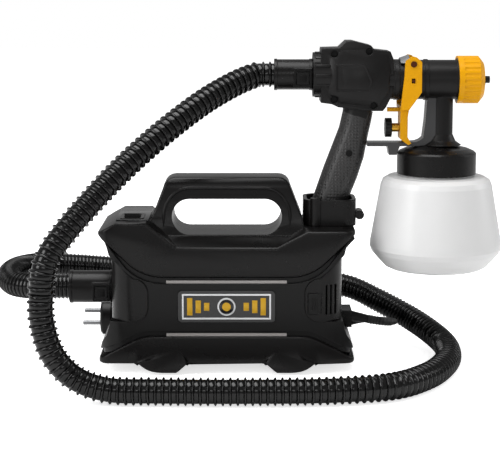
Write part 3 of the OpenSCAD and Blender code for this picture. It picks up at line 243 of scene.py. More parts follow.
# Open-cell foam of the intake filter.
foam = surface("foam", "#55585b", "#3c3e41", 0.95, grain_mm=1.6, grain=1.0)
# Gloss polycarbonate of the badge and the switch's plate.
badge_gloss = surface("badge_gloss", "#131314", "#101011", 0.16, grain_mm=2.0, grain=0.03)
# Yellow and silver lacquer on the badge, with a slight metal flake.
badge_yellow = surface("badge_yellow", "#d2a41e", "#b98c12", 0.3, metallic=0.25, grain_mm=0.6,
                       grain=0.05)
badge_silver = surface("badge_silver", "#d9dadb", "#cfd0d1", 0.3, metallic=0.5, grain_mm=0.6,
                       grain=0.05)

FINISH = {
    black_abs: ["top_shell_front", "top_shell_back", "bottom_tray", "outlet_cover",
                "filter_cover", "switch_body", "gun_holder", "side_clip", "outlet_socket",
                "cord_gland", "base_cuff", "gun_cuff", "cup_lid", "plug_body"],
    waist_abs: ["mid_shell_front", "mid_shell_back", "cover_latch", "power_switch",
                "base_cuff_button", "gun_cuff_button", "hank_tie"],
    gun_nylon: ["gun_shell_near", "gun_shell_far", "spray_head", "air_cap", "air_tube"],
    nylon_with_painted_sheen: ["trigger_guard"],
    hose_plastic: ["hose"],
    yellow_acetal: ["trigger", "nozzle_nut"],
    milky_cup: ["cup", "suction_tube"],
    silver_foil: ["trim_strips"],
    nickel: ["holder_screws", "motor_can", "motor_shaft", "motor_bearings", "base_screws",
             "plug_pins", "needle", "needle_spring"],
    painted_screw_shade: ["gun_screws"],
    steel_with_painted_reflection: ["trigger_screws"],
    brass: ["fluid_nozzle", "flow_knob"],
    rubber: ["rubber_feet", "motor_mounts", "cup_gasket"],
    cord_pvc: ["cord_start", "cord_hank", "cord_end"],
    grey_acetal: ["trigger_bail"],
    foam: ["air_filter"],
    fan_nylon: ["fan_housing", "impeller"],
    badge_gloss: ["badge_plate"],
}
MATERIAL_OF = {name: material for material, names in FINISH.items() for name in names}


def give(piece, material):
    piece.data.materials.clear()
    piece.data.materials.append(material)


def give_second(piece, material, test):
    """Gives a second finish to the faces that pass the test."""
    piece.data.materials.append(material)
    for face in piece.data.polygons:
        if test(face):
            face.material_index = 1


for node_name, node_finish in MATERIAL_OF.items():
    give(NODES[node_name], node_finish)


# ---- modelling tools
def only(piece):
    """Makes piece the one selected and active object."""
    bpy.ops.object.select_all(action="DESELECT")
    piece.select_set(True)
    bpy.context.view_layer.objects.active = piece


def pick_faces(piece, test):
    """In edit mode with the faces selected whose middle and direction pass the test."""
    only(piece)
    bpy.ops.object.mode_set(mode="EDIT")
    bpy.ops.mesh.select_mode(type="FACE")
    bpy.ops.mesh.select_all(action="DESELECT")
    bpy.ops.object.mode_set(mode="OBJECT")
    for face in piece.data.polygons:
        face.select = test(face.center, face.normal)
    bpy.ops.object.mode_set(mode="EDIT")


def done(piece, smooth_angle=35):
    """Leaves edit mode and shades the piece smooth up to an angle in degrees."""
    if piece.mode != "OBJECT":
        bpy.ops.object.mode_set(mode="OBJECT")
    only(piece)
    bpy.ops.object.shade_smooth_by_angle(angle=math.radians(smooth_angle))


def settle(piece):
    """Puts the piece's place into its mesh, so that its object sits at the origin."""
    only(piece)
    bpy.ops.object.transform_apply(location=True, rotation=True, scale=True)
    return piece


def apply_modifier(piece, kind, **settings):
    only(piece)
    made = piece.modifiers.new(kind.title(), kind)
    for key, value in settings.items():
        setattr(made, key, value)
    bpy.ops.object.modifier_apply(modifier=made.name)


def carry(piece, node, material=None, stands_for=()):
    """The piece rides with a CAD node's body and takes its finish."""
    give(piece, material or MATERIAL_OF[node])
    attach(piece, BODY_OF[node])
    if stands_for:
        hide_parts(*stands_for)
    return piece


MERGE_REACH = 2e-6
FLAT_ANGLE = math.radians(0.6)


def merged_copy(node, name):
    """A copy of a CAD node with its corners merged and its flat faces whole."""
    piece = NODES[node].copy()
    piece.data = NODES[node].data.copy()
    piece.name = name
    piece.parent = None
    for key in list(piece.keys()):
        del piece[key]
    bpy.context.scene.collection.objects.link(piece)
    only(piece)
    bpy.ops.object.mode_set(mode="EDIT")
    bpy.ops.mesh.select_all(action="SELECT")
    bpy.ops.mesh.remove_doubles(threshold=MERGE_REACH)
    bpy.ops.mesh.dissolve_limited(angle_limit=FLAT_ANGLE)
    bpy.ops.object.mode_set(mode="OBJECT")
    if piece.data.has_custom_normals:
        bpy.ops.mesh.customdata_custom_splitnormals_clear()
    return piece


SHARP_ANGLE = math.radians(28)
ROUND_STEPS = 3


def round_edges(piece, radius_mm, where):
    """Rounds the sharp edges whose middle and direction pass the test."""
    only(piece)
    bpy.ops.object.mode_set(mode="EDIT")
    bpy.ops.mesh.select_mode(type="EDGE")
    bpy.ops.mesh.select_all(action="DESELECT")
    bpy.ops.mesh.edges_select_sharp(sharpness=SHARP_ANGLE)
    bpy.ops.object.mode_set(mode="OBJECT")
    mesh = piece.data
    chosen = []
    for edge in mesh.edges:
        a, b = (mesh.vertices[i].co for i in edge.vertices)
        if edge.select and where((a + b) / 2, (b - a).normalized()):
            chosen.append(edge.index)
    bpy.ops.object.mode_set(mode="EDIT")
    bpy.ops.mesh.select_all(action="DESELECT")
    bpy.ops.object.mode_set(mode="OBJECT")
    for i in chosen:
        mesh.edges[i].select = True
    bpy.ops.object.mode_set(mode="EDIT")
    bpy.ops.mesh.bevel(offset=radius_mm * MM, offset_type="OFFSET", segments=ROUND_STEPS,
                       affect="EDGES", clamp_overlap=False, miter_outer="ARC")
    bpy.ops.object.mode_set(mode="OBJECT")


def dressed(node, name, radius_mm, where):
    """A merged copy of a node with some edges rounded, which replaces the node."""
    piece = merged_copy(node, name)
    round_edges(piece, radius_mm, where)
    done(piece)
    return carry(piece, node, stands_for=(node,))


# ---- routes: a round section along a line of points
def between(a, b, c, d, t):
    """The smooth curve through b and c at share t."""
    return 0.5 * (2 * b + (c - a) * t + (2 * a - 5 * b + 4 * c - d) * t * t
                  + (3 * b - a - 3 * c + d) * t ** 3)


def smooth_route(route, steps):
    points = [Vector(p) for p in route]
    last = len(points) - 1
    line = [between(points[max(i - 1, 0)], points[i], points[i + 1], points[min(i + 2, last)],
                    j / steps)
            for i in range(last) for j in range(steps)]
    return line + [points[last]]


def run_sums(line):
    """The distance run up to each point of a line."""
    sums = [0.0]
    for a, b in zip(line, line[1:]):
        sums.append(sums[-1] + (b - a).length)
    return sums


def points_at(line, distances):
    """Points at rising distances along a line."""
    sums, found, i = run_sums(line), [], 0
    for s in distances:
        while i < len(sums) - 2 and sums[i + 1] < s:
            i += 1
        share = (s - sums[i]) / max(sums[i + 1] - sums[i], 1e-9)
        found.append(line[i].lerp(line[i + 1], min(max(share, 0), 1)))
    return found


def swept(name, centres, radii, sides):
    """A closed round skin through rings at the centres."""
    forward = (centres[1] - centres[0]).normalized()
    across = forward.orthogonal().normalized()
    corners, faces = [], []
    for i, (centre, radius) in enumerate(zip(centres, radii)):
        ahead = (centres[min(i + 1, len(centres) - 1)] - centres[max(i - 1, 0)])
        if ahead.length > 1e-7:
            ahead.normalize()
            across = (across - ahead * across.dot(ahead)).normalized()
            forward = ahead
        up = forward.cross(across)
        for k in range(sides):
            turn = 2 * math.pi * k / sides
            corners.append(centre + radius * (math.cos(turn) * across + math.sin(turn) * up))
    for i in range(len(centres) - 1):
        for k in range(sides):
            a, b = i * sides + k, i * sides + (k + 1) % sides
            faces.append((a, b, b + sides, a + sides))
    faces.append(tuple(range(sides - 1, -1, -1)))
    faces.append(tuple(range((len(centres) - 1) * sides, len(centres) * sides)))
    mesh = bpy.data.meshes.new(name)
    mesh.from_pydata(corners, [], faces)
    piece = bpy.data.objects.new(name, mesh)
    bpy.context.scene.collection.objects.link(piece)
    return piece


# ---- air hose: out of the base on the left, round behind it, along the front and up to the gun
HOSE_ROUTE = [
    (-0.183, 0, 0.075), (-0.196, 0, 0.075),
    (-0.216, 0.014, 0.075), (-0.227, 0.045, 0.076), (-0.224, 0.085, 0.076),
    (-0.203, 0.117, 0.074), (-0.165, 0.131, 0.070), (-0.115, 0.132, 0.066),
    (-0.020, 0.118, 0.062), (0.070, 0.100, 0.060), (0.123, 0.088, 0.057),
    (0.159, 0.078, 0.043), (0.196, 0.054, 0.026), (0.218, 0.015, 0.015),
    (0.219, -0.030, 0.0128), (0.208, -0.070, 0.0126), (0.187, -0.108, 0.0126),
    (0.152, -0.140, 0.0126), (0.094, -0.154, 0.0126), (0.020, -0.157, 0.0126),
    (-0.060, -0.156, 0.0126), (-0.105, -0.154, 0.0135), (-0.134, -0.152, 0.023),
    (-0.153, -0.152, 0.042), (-0.163, -0.150, 0.068), (-0.165, -0.148, 0.097),
    (-0.157, -0.143, 0.136), (-0.114, -0.112, 0.188), (-0.072, -0.078, 0.227),
    (-0.028, -0.043, 0.260), (0.004, -0.017, 0.278), (0.024, -0.003, 0.286),
]
HOSE_STEPS = 14
# Points on the straight run into the gun's cuff, as distances from the hose's end.
CUFF_RUN = (0.016, 0.013, 0)
RIBS_CLOSE, RIBS_WIDE = 0.0040, 0.0067
# The ribs open up around this distance along the hose, over this run.
RIBS_CHANGE, CHANGE_RUN = 0.64, 0.1
FIN_R = HOSE_R + 0.0005
# The hose's plain ends lie this far below the tops of its ribs.
END_DEPTH = 0.0020
# A valley with a slightly crowned floor and one narrow fin: share of the pitch, depth.
RIB_PROFILE = [(0.06, 0.0021), (0.20, 0.0019), (0.46, 0.0019), (0.60, 0.0021),
               (0.68, 0.0006), (0.76, 0.0), (0.84, 0.0), (0.92, 0.0006)]
# Where ribs stand close, their valleys keep this share of their depth.
CLOSE_DEPTH = 0.6
# No rib starts within the first of these from the hose's end, and no ring lies within the second.
RIB_SLACK, RING_SLACK = 0.4 * RIBS_WIDE, 0.0002


def hose_line():
    start = Vector((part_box("base_cuff")[0].x, 0, OUTLET_Z))
    end = Vector((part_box("gun_cuff")[0].x, 0, GUN_Z + COLLAR_RISE))
    points = [start] + [at_base(*p) for p in HOSE_ROUTE]
    points += [end - Vector((back, 0, 0)) for back in CUFF_RUN]
    return smooth_route(points, HOSE_STEPS)


def ribbed_hose():
    """Ribs stand close together behind the base and apart along the front and up to the gun."""
    line = hose_line()
    total = run_sums(line)[-1]
    distances, radii = [0.0], [FIN_R - END_DEPTH]
    s = 0.0
    while s < total - RIB_SLACK:
        share = min(max((s - RIBS_CHANGE + CHANGE_RUN / 2) / CHANGE_RUN, 0), 1)
        pitch = RIBS_CLOSE + (RIBS_WIDE - RIBS_CLOSE) * share
        for along, depth in RIB_PROFILE:
            if s + pitch * along < total - RING_SLACK:
                distances.append(s + pitch * along)
                radii.append(FIN_R - depth * (CLOSE_DEPTH + (1 - CLOSE_DEPTH) * share))
        s += pitch
    distances.append(total)
    radii.append(FIN_R - END_DEPTH)
    piece = swept("ribbed_hose", points_at(line, distances), radii, sides=28)
    give(piece, hose_plastic)
    done(piece, smooth_angle=50)
    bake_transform(piece)
    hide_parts("hose")


# ---- mains cord: out of the base on the right, folded into a hank behind it, and to its plug
RELIEF_X, RELIEF_Y, RELIEF_Z = 0.125, 0.010, 0.0425
RELIEF_TILT, RELIEF_RUN = math.radians(11), 0.018
RELIEF_END = (RELIEF_X + RELIEF_RUN * math.cos(RELIEF_TILT), RELIEF_Y,
              RELIEF_Z - RELIEF_RUN * math.sin(RELIEF_TILT))
HANK_X, HANK_Y, HANK_RUN, HANK_LOOPS = 0.015, 0.116, 0.110, 2
TURN_GAP = 0.0007
HANK_PITCH = 2 * CORD_R + TURN_GAP
HANK_IN_R = 6 * CORD_R
HANK_OUT_R = HANK_IN_R + HANK_PITCH * HANK_LOOPS
CORD_LOW = 0.0034
PLUG_X, PLUG_Y, PLUG_R, PLUG_LENGTH = -0.138, 0.105, 0.019, 0.045
CORD_START = [
    RELIEF_END, (0.150, 0.010, 0.0377), (0.160, 0.0115, 0.0359), (0.1685, 0.018, 0.034),
    (0.171, 0.028, 0.0322), (0.167, 0.037, 0.031), (0.156, 0.045, 0.030), (0.142, 0.053, 0.028),
    (0.127, 0.063, 0.022), (0.112, 0.074, 0.012), (0.101, 0.081, 0.0048),
    (0.092, HANK_Y - HANK_OUT_R, CORD_LOW), (0.086, HANK_Y - HANK_OUT_R, CORD_LOW),
    (HANK_X + HANK_RUN / 2, HANK_Y - HANK_OUT_R, CORD_LOW),
]
# The last turn lies on the first ones, an eighth of a turn's width further out.
HANK_LAST_Y = HANK_Y - HANK_OUT_R - HANK_PITCH / 8
HANK_TOP = CORD_LOW + HANK_PITCH
CORD_END = [
    (HANK_X - HANK_RUN / 2, HANK_LAST_Y, HANK_TOP), (-0.047, HANK_LAST_Y, HANK_TOP),
    (-0.054, HANK_LAST_Y, HANK_TOP), (-0.066, 0.088, 0.012), (-0.078, 0.098, 0.016),
    (-0.084, PLUG_Y, PLUG_R), (-0.086, PLUG_Y, PLUG_R), (PLUG_X + PLUG_LENGTH, PLUG_Y, PLUG_R),
]
# Shares of a turn of the hank that its straight runs and its folds take.
RUN_SHARE, FOLD_SHARE = 3 / 24, 9 / 24
POINTS_PER_TURN = 96
CORD_STEPS = 10
CORD_RING_EVERY = 0.0022


def hank_point(turn):
    """A point of the hank at a count of turns: near run, left fold, far run, right fold."""
    u = turn % 1.0
    fall = turn if turn < HANK_LOOPS else 2 * HANK_LOOPS - turn
    radius = HANK_OUT_R - HANK_PITCH * fall
    climb = min(1, max(0, (turn - HANK_LOOPS) / RUN_SHARE))
    left_end = RUN_SHARE + FOLD_SHARE
    far_end = left_end + RUN_SHARE
    if u < RUN_SHARE:
        x, y = HANK_RUN / 2 - HANK_RUN * u / RUN_SHARE, -radius
    elif u < left_end:
        angle = math.pi * (u - RUN_SHARE) / FOLD_SHARE
        x, y = -HANK_RUN / 2 - radius * math.sin(angle), -radius * math.cos(angle)
    elif u < far_end:
        x, y = -HANK_RUN / 2 + HANK_RUN * (u - left_end) / RUN_SHARE, radius
    else:
        angle = math.pi * (u - far_end) / FOLD_SHARE
        x, y = HANK_RUN / 2 + radius * math.sin(angle), radius * math.cos(angle)
    return Vector((HANK_X + x, HANK_Y + y, CORD_LOW + HANK_PITCH * climb))


def cord_line():
    loops = [hank_point(i / POINTS_PER_TURN) for i in range(1, 2 * HANK_LOOPS * POINTS_PER_TURN)]
    line = smooth_route(CORD_START, CORD_STEPS) + loops + smooth_route(CORD_END, CORD_STEPS)
    return [at_base(*p) for p in line]


def relief_sleeve():
    """The soft end of the strain relief, a tapered sleeve with grooves that bends with the cord."""
    step, count = 0.0005, 53
    thick, taper, groove, tip = 0.0047, 0.0008, 0.0005, 0.0006
    in_groove, groove_every = (3, 4), 6
    centres = points_at(cord_line(), [step * i for i in range(count + 1)])
    radii = [thick - taper * i / count - (groove if i % groove_every in in_groove else 0)
             for i in range(count + 1)]
    radii[-1] -= tip
    piece = swept("relief_sleeve", centres, radii, sides=20)
    done(piece, smooth_angle=40)
    return carry(piece, "cord_gland", cord_pvc)


def mains_cord(with_pieces):
    line = cord_line()
    total = run_sums(line)[-1]
    count = int(total / CORD_RING_EVERY)
    centres = points_at(line, [total * i / count for i in range(count + 1)])
    piece = swept("mains_cord", centres, [CORD_R] * len(centres), sides=14)
    give(piece, cord_pvc)
    done(piece, smooth_angle=60)
    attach(piece, "base")
    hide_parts("cord_start", "cord_hank", "cord_end")


# ---- housings with moulded radii
TOP_SEAM_Z = 0.0945
# How deep the outer edges lie behind the front and back walls, and inside the two ends.
WALL_BAND, END_BAND = 0.006, 0.001
# The carry handle's long edges lie in this range from the middle, above its foot.
HANDLE_FOOT_Z, HANDLE_HALF_RUN = 0.153, 0.078
HANDLE_NEAR, HANDLE_FAR = 0.0165, 0.026
# The carry handle's opening is a slot with round ends.
OPENING_Z, OPENING_RUN, OPENING_R = 0.150, 0.037, 0.017
# The tray's rounded corners, the depth of its long walls' edges and the top of its feet.
TRAY_CORNER, TRAY_FACE, TRAY_FOOT_Z = 0.0108, 0.0006, 0.0085
HOUSING_SIDE = 0.019
ON_OPENING, ON_SIDE = 0.0004, 0.0002
HOUSING_BOTTOM = GUN_Z - 0.031
GRIP_TOP = GUN_Z - 0.034


def on_opening(middle):
    """Whether a point lies on the wall of the carry handle's opening."""
    over_run = max(abs(middle.x - BASE_X) - OPENING_RUN, 0)
    return abs(math.hypot(over_run, middle.z - OPENING_Z) - OPENING_R) < ON_OPENING


def top_skin(middle, direction):
    """Outer edges of the top shells, away from seam, opening, holes and the handle's foot."""
    x, y, z = abs(middle.x - BASE_X), abs(middle.y), middle.z
    rim = y > -BASE_FRONT - WALL_BAND or x > BASE_HALF_WIDTH - END_BAND
    on_handle = z > HANDLE_FOOT_Z and HANDLE_NEAR < y < HANDLE_FAR and x < HANDLE_HALF_RUN
    across = abs(direction.y) >= 0.9
    return (rim or on_handle) and not on_opening(middle) and not across and z > TOP_SEAM_Z


def tray_skin(middle, direction):
    """Outer edges of the tray's corners and long walls, above its feet."""
    x, y, z = abs(middle.x - BASE_X), abs(middle.y), middle.z
    corner = x > BASE_HALF_WIDTH - TRAY_CORNER and y > -BASE_FRONT - TRAY_CORNER
    return (corner or y > -BASE_FRONT - TRAY_FACE) and z > TRAY_FOOT_Z


def gun_skin(middle, direction):
    """Edges of the gun's housing where its side meets its rim."""
    return abs(abs(middle.y) - HOUSING_SIDE) < ON_SIDE and middle.z > HOUSING_BOTTOM


for half in ("front", "back"):
    dressed(f"top_shell_{half}", f"top_housing_{half}", 2.2, top_skin)
dressed("bottom_tray", "tray_housing", 2.0, tray_skin)
for half in ("near", "far"):
    housing = dressed(f"gun_shell_{half}", f"gun_housing_{half}", 0.7, gun_skin)
    # The grip's faces take the lighter finish, whose tint is painted sheen.
    give_second(housing, grip_nylon_painted_sheen, lambda face: face.center.z < GRIP_TOP)


# ---- small moulded details
def bare_box(name, middle, size):
    """A box of a size at a place, to be shaped further."""
    bpy.ops.mesh.primitive_cube_add(size=1, location=middle)
    piece = bpy.context.active_object
    piece.name = name
    piece.scale = size
    return settle(piece)


def block(name, low, high, node, material=None, radius_mm=0.4):
    """A box with rounded edges that rides with a node."""
    low, high = Vector(low), Vector(high)
    piece = bare_box(name, (low + high) / 2, high - low)
    apply_modifier(piece, "BEVEL", width=radius_mm * MM, segments=2, limit_method="NONE")
    done(piece)
    return carry(piece, node, material)


def switch_panel():
    """The glossy raised plate round the rocker switch."""
    left, right, front, back = 0.0155, 0.0165, -0.041, 0.036
    sunk, proud, body_rise = 0.0005, 0.0012, 0.002
    low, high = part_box("switch_body")
    x, deck = (low.x + high.x) / 2, high.z - body_rise
    block("switch_panel", (x - left, front, deck - sunk), (x + right, back, deck + proud),
          "top_shell_front", badge_gloss, 0.5)


BADGE_HALF_W, BADGE_HALF_H, BADGE_THICK = 0.043, 0.0125, 0.0006
BADGE_RIM, BADGE_SINK = 0.0016, 0.0004
BAR_HALF_W, BAR_PROUD, BAR_SUNK = 0.0026, 0.0008, 0.0001
BAR_FIRST, BAR_PITCH = 0.0355, 0.0082
BAR_HALF_HEIGHTS = (0.0085, 0.0062, 0.0039)
PLATE_THICK = 0.0008


def round_plate(name, middle, radius, material, radius_mm):
    """A thin round plate on the badge that faces the front."""
    bpy.ops.mesh.primitive_cylinder_add(vertices=48, radius=radius, depth=PLATE_THICK,
                                        location=middle, rotation=(math.pi / 2, 0, 0))
    piece = bpy.context.active_object
    piece.name = name
    settle(piece)
    apply_modifier(piece, "BEVEL", width=radius_mm * MM, segments=2, limit_method="ANGLE")
    done(piece)
    carry(piece, "badge_plate", material)


def badge():
    """A plain sign: a silver frame, a silver ring and yellow bars that step down to it."""
    low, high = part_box("badge_plate")
    face, middle = low.y, (low + high) / 2
    rim = bare_box("badge_frame", (middle.x, face - BADGE_THICK / 2, middle.z),
                   (2 * BADGE_HALF_W, BADGE_THICK, 2 * BADGE_HALF_H))
    pick_faces(rim, lambda place, normal: normal.y < -0.5)
    bpy.ops.mesh.inset(thickness=BADGE_RIM)
    bpy.ops.mesh.extrude_region_move(TRANSFORM_OT_translate={"value": (0, BADGE_SINK, 0)})
    done(rim)
    carry(rim, "badge_plate", badge_silver)
    field_least = BADGE_HALF_W * BADGE_HALF_H
    give_second(rim, badge_gloss, lambda part: part.normal.y < -0.5 and part.area > field_least
                and abs(part.center.x - middle.x) < MM)
    for word, side in (("left", -1), ("right", 1)):
        for i, height in enumerate(BAR_HALF_HEIGHTS):
            x = middle.x + side * (BAR_FIRST - BAR_PITCH * i)
            block(f"badge_bar_{word}_{i}", (x - BAR_HALF_W, face - BAR_PROUD, middle.z - height),
                  (x + BAR_HALF_W, face + BAR_SUNK, middle.z + height), "badge_plate",
                  badge_yellow, 0.2)
    for name, forward, radius, material, radius_mm in (
            ("badge_ring", 0.0005, 0.0088, badge_silver, 0.2),
            ("badge_field", 0.0007, 0.0072, badge_gloss, 0.1),
            ("badge_dot", 0.0009, 0.0042, badge_yellow, 0.2)):
        round_plate(name, (middle.x, face - forward, middle.z), radius, material, radius_mm)


def lock_button(prefix, cuff_node, button_node):
    """Square in square: a raised rim on the cuff and a smaller pad on the button."""
    rim_half, rim_wall, rim_depth, rim_sunk = 0.0084, 0.0015, 0.0014, 0.0003
    pad_half, pad_proud, pad_sunk = 0.0034, 0.0006, 0.0002
    low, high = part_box(button_node)
    middle = (low + high) / 2
    rim = bare_box(f"{prefix}_rim", (middle.x, low.y + rim_sunk, middle.z),
                   (2 * rim_half, rim_depth, 2 * rim_half))
    pick_faces(rim, lambda place, normal: abs(normal.y) > 0.5)
    bpy.ops.mesh.inset(thickness=rim_wall, use_individual=True)
    bpy.ops.mesh.bridge_edge_loops()
    done(rim)
    carry(rim, cuff_node, matt_nylon_and_recess_shade)
    block(f"{prefix}_pad", (middle.x - pad_half, low.y - pad_proud, middle.z - pad_half),
          (middle.x + pad_half, low.y + pad_sunk, middle.z + pad_half), button_node, matt_nylon_and_recess_shade)


def collar_ribs():
    """Ribs along the gun's rear collar, where the hose cuff goes in."""
    count, radius, back, rib_size = 14, 0.0217, -0.0265, (0.015, 0.003, 0.0022)
    ribs = []
    for i in range(count):
        rib = bare_box("collar_ribs", at_gun(back, 0, COLLAR_RISE + radius), rib_size)
        bpy.context.scene.cursor.location = at_gun(back, 0, COLLAR_RISE)
        bpy.ops.object.origin_set(type="ORIGIN_CURSOR")
        rib.rotation_euler = (2 * math.pi * (i + 0.5) / count, 0, 0)
        ribs.append(settle(rib))
    bpy.ops.object.select_all(action="DESELECT")
    for rib in ribs:
        rib.select_set(True)
    piece = ribs[0]
    bpy.context.view_layer.objects.active = piece
    bpy.ops.object.join()
    bpy.context.scene.cursor.location = (0, 0, 0)
    bpy.ops.object.origin_set(type="ORIGIN_CURSOR")
    apply_modifier(piece, "BEVEL", width=0.5 * MM, segments=2, limit_method="NONE")
    done(piece)
    carry(piece, "gun_shell_near")


CHEEK_Y = 0.025
# The panel's corners in millimetres, from the middle of the gun's housing.
PANEL_OUTLINE = [(-14.5, -10), (19, -10), (21.5, -0.5), (14, 16.5), (-14.5, 16.5)]
PANEL_ROOT, PANEL_THICK, PANEL_RIM, PANEL_SINK = 0.004, 0.0052, 0.0036, 0.002


def cheek_panels():
    """A sunk panel with a raised rim on each side of the gun's housing."""
    for half, side in (("near", -1), ("far", 1)):
        bpy.ops.mesh.primitive_circle_add(vertices=len(PANEL_OUTLINE), fill_type="NGON")
        piece = bpy.context.active_object
        piece.name = f"cheek_panel_{half}"
        for corner, (x, z) in zip(piece.data.vertices, PANEL_OUTLINE):
            corner.co = at_gun(x * MM, side * (CHEEK_Y - PANEL_ROOT), z * MM)
        settle(piece)
        pick_faces(piece, lambda place, normal: True)
        bpy.ops.mesh.extrude_region_move(
            TRANSFORM_OT_translate={"value": (0, side * PANEL_THICK, 0)})
        bpy.ops.mesh.select_all(action="SELECT")
        bpy.ops.mesh.normals_make_consistent(inside=False)
        bpy.ops.object.mode_set(mode="OBJECT")
        pick_faces(piece, lambda place, normal: side * normal.y > 0.9 and side * place.y > CHEEK_Y)
        bpy.ops.mesh.inset(thickness=PANEL_RIM)
        bpy.ops.transform.translate(value=(0, -side * PANEL_SINK, 0))
        bpy.ops.object.mode_set(mode="OBJECT")
        apply_modifier(piece, "BEVEL", width=0.9 * MM, segments=3, limit_method="ANGLE")
        done(piece)
        carry(piece, f"gun_shell_{half}")
        # The sunk floor takes the darker matt nylon: painted shade of the recess.
        give_second(piece, matt_nylon_and_recess_shade, lambda face: side * face.normal.y > 0.99
                    and side * face.center.y < CHEEK_Y)


# How far the carry handle's front stands out at each height.
HANDLE_FACE = [(0.132, 0.031), (0.139, 0.027), (0.1505, 0.0245), (0.165, 0.022), (0.190, 0.020)]


def handle_face(z):
    for (z0, y0), (z1, y1) in zip(HANDLE_FACE, HANDLE_FACE[1:]):
        if z <= z1:
            return y0 + (y1 - y0) * (z - z0) / (z1 - z0)
    return HANDLE_FACE[-1][1]


def grip_ridges():
    """A low ridge round the sides and top of the handle's opening, front and back."""
    reach, rise, foot_z = 0.0080, 0.0105, 0.1385
    corner_steps, top_steps = 14, 12
    ridge_r, tip_r, sunk = 0.0019, 0.0006, 0.0009
    path = [(-OPENING_RUN - OPENING_R - reach, foot_z)]
    for i in range(corner_steps + 1):
        turn = math.radians(180 - 90 * i / corner_steps)
        path.append((-OPENING_RUN + (OPENING_R + reach) * math.cos(turn),
                     OPENING_Z + (OPENING_R + rise) * math.sin(turn)))
    for i in range(1, top_steps):
        path.append((-OPENING_RUN + 2 * OPENING_RUN * i / top_steps, OPENING_Z + OPENING_R + rise))
    path += [(-x, z) for x, z in reversed(path[:corner_steps + 2])]
    for half, side in (("front", -1), ("back", 1)):
        centres = [at_base(x, side * (handle_face(z) - sunk), z) for x, z in path]
        radii = [tip_r] + [ridge_r] * (len(centres) - 2) + [tip_r]
        piece = swept(f"grip_ridge_{half}", centres, radii, sides=14)
        done(piece, smooth_angle=60)
        carry(piece, f"top_shell_{half}")


def two_tone_knob():
    """The knob's head is black; its stem stays brass."""
    head = 0.0064
    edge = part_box("flow_knob")[0].x + head
    give_second(NODES["flow_knob"], gun_nylon, lambda face: face.center.x < edge)


def pin_ends_painted_reflection():
    """The needle's cross pin ends, which show in the fork, take a red-brown tint: painted
    reflection of the yellow fork.
    """
    pin_end = 0.012
    give_second(NODES["needle"], steel_with_painted_reflection, lambda face: abs(face.center.y) > pin_end)


def needle_coil():
    """The coil that pushes the needle shut, drawn at one length."""
    wire, turns, steps, draw = 0.00055, 8, 20, 0.0037
    low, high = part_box("needle_spring")
    radius = (high.z - low.z) / 2 - wire
    run = high.x - low.x - 2 * wire
    centres = [Vector((low.x + wire + run * i / (turns * steps),
                       (low.y + high.y) / 2 + radius * math.cos(2 * math.pi * i / steps),
                       (low.z + high.z) / 2 + radius * math.sin(2 * math.pi * i / steps)))
               for i in range(turns * steps + 1)]
    piece = swept("needle_coil", centres, [wire] * len(centres), sides=8)
    done(piece, smooth_angle=60)
    carry(piece, "needle_spring", stands_for=("needle_spring",))
    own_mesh(piece)


switch_panel()
badge()
lock_button("gun_lock", "gun_cuff", "gun_cuff_button")
lock_button("base_lock", "base_cuff", "base_cuff_button")
collar_ribs()
cheek_panels()
grip_ridges()
two_tone_knob()
pin_ends_painted_reflection()
needle_coil()
ribbed_hose()
mains_cord([NODES["plug_body"], NODES["plug_pins"], NODES["hank_tie"], NODES["cord_gland"],
            relief_sleeve()])


# ---- studio
FLOOR_SIZE, FLOOR_Z = 14, -0.0004
PAPER_GLOW = 0.7
SOFT_LIGHT, WHITE = 0.4, 1.0
# Each lamp: its place, the height above the middle of the floor that it aims at, its width and
# height in metres, and its watts.
LAMPS = {
    "top_panel": ((-0.2, -0.1, 1.5), 0.1, (1.2, 0.8), 18),
    "left_panel": ((-1.4, -0.9, 0.9), 0.15, (0.7, 1.0), 14),
    "front_strip": ((-0.1, -1.7, 0.75), 0.15, (0.9, 0.14), 2.5),
    "right_panel": ((1.5, 0.2, 0.8), 0.15, (0.6, 1.2), 6),
}


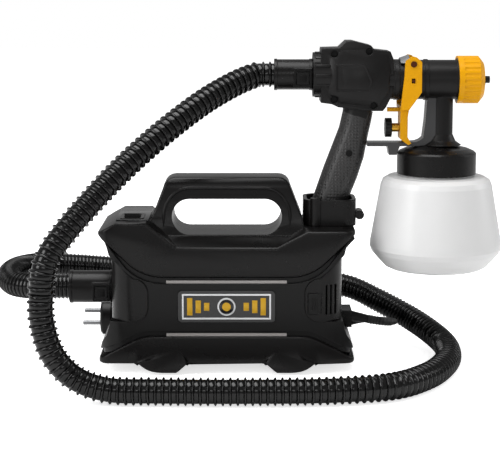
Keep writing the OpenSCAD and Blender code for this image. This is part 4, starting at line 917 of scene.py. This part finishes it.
def add_floor():
    """White paper that looks white to the camera and keeps the shadow."""
    bpy.ops.mesh.primitive_plane_add(size=FLOOR_SIZE, location=(0, 0, FLOOR_Z))
    floor = bpy.context.active_object
    floor.name = "studio_floor"
    made = bpy.data.materials.new("studio_paper")
    made.use_nodes = True
    paper = made.node_tree.nodes["Principled BSDF"]
    paper.inputs["Base Color"].default_value = linear("#ffffff")
    paper.inputs["Roughness"].default_value = 1.0
    paper.inputs["Specular IOR Level"].default_value = 0.0
    paper.inputs["Emission Color"].default_value = linear("#ffffff")
    ray = node_in(made.node_tree, "ShaderNodeLightPath")
    glow = node_in(made.node_tree, "ShaderNodeMath", {"operation": "MULTIPLY", 1: PAPER_GLOW},
                   {0: ray.outputs["Is Camera Ray"]})
    made.node_tree.links.new(glow.outputs[0], paper.inputs["Emission Strength"])
    give(floor, made)


def add_world():
    """Soft white light all round, behind a white backdrop."""
    world = bpy.data.worlds.new("studio_world")
    bpy.context.scene.world = world
    world.use_nodes = True
    tree = world.node_tree
    tree.nodes.clear()
    ray = node_in(tree, "ShaderNodeLightPath")
    seen = node_in(tree, "ShaderNodeMath", {"operation": "MAXIMUM"},
                   {0: ray.outputs["Is Camera Ray"], 1: ray.outputs["Is Transmission Ray"]})
    soft = node_in(tree, "ShaderNodeBackground",
                   {"Color": linear("#ffffff"), "Strength": SOFT_LIGHT})
    white = node_in(tree, "ShaderNodeBackground", {"Color": linear("#ffffff"), "Strength": WHITE})
    mixed = node_in(tree, "ShaderNodeMixShader", {},
                    {0: seen.outputs[0], 1: soft.outputs[0], 2: white.outputs[0]})
    node_in(tree, "ShaderNodeOutputWorld", {}, {"Surface": mixed.outputs[0]})


def add_lamp(name, place, aim_z, size, watts):
    lamp = bpy.data.lights.new(name, "AREA")
    lamp.shape = "RECTANGLE"
    lamp.size, lamp.size_y = size
    lamp.energy = watts
    holder = bpy.data.objects.new(name, lamp)
    holder.location = place
    aim = Vector((0, 0, aim_z)) - Vector(place)
    holder.rotation_euler = aim.to_track_quat("-Z", "Y").to_euler()
    bpy.context.scene.collection.objects.link(holder)


add_floor()
add_world()
for lamp_name, settings in LAMPS.items():
    add_lamp(lamp_name, *settings)

bpy.context.scene.view_settings.view_transform = "Standard"
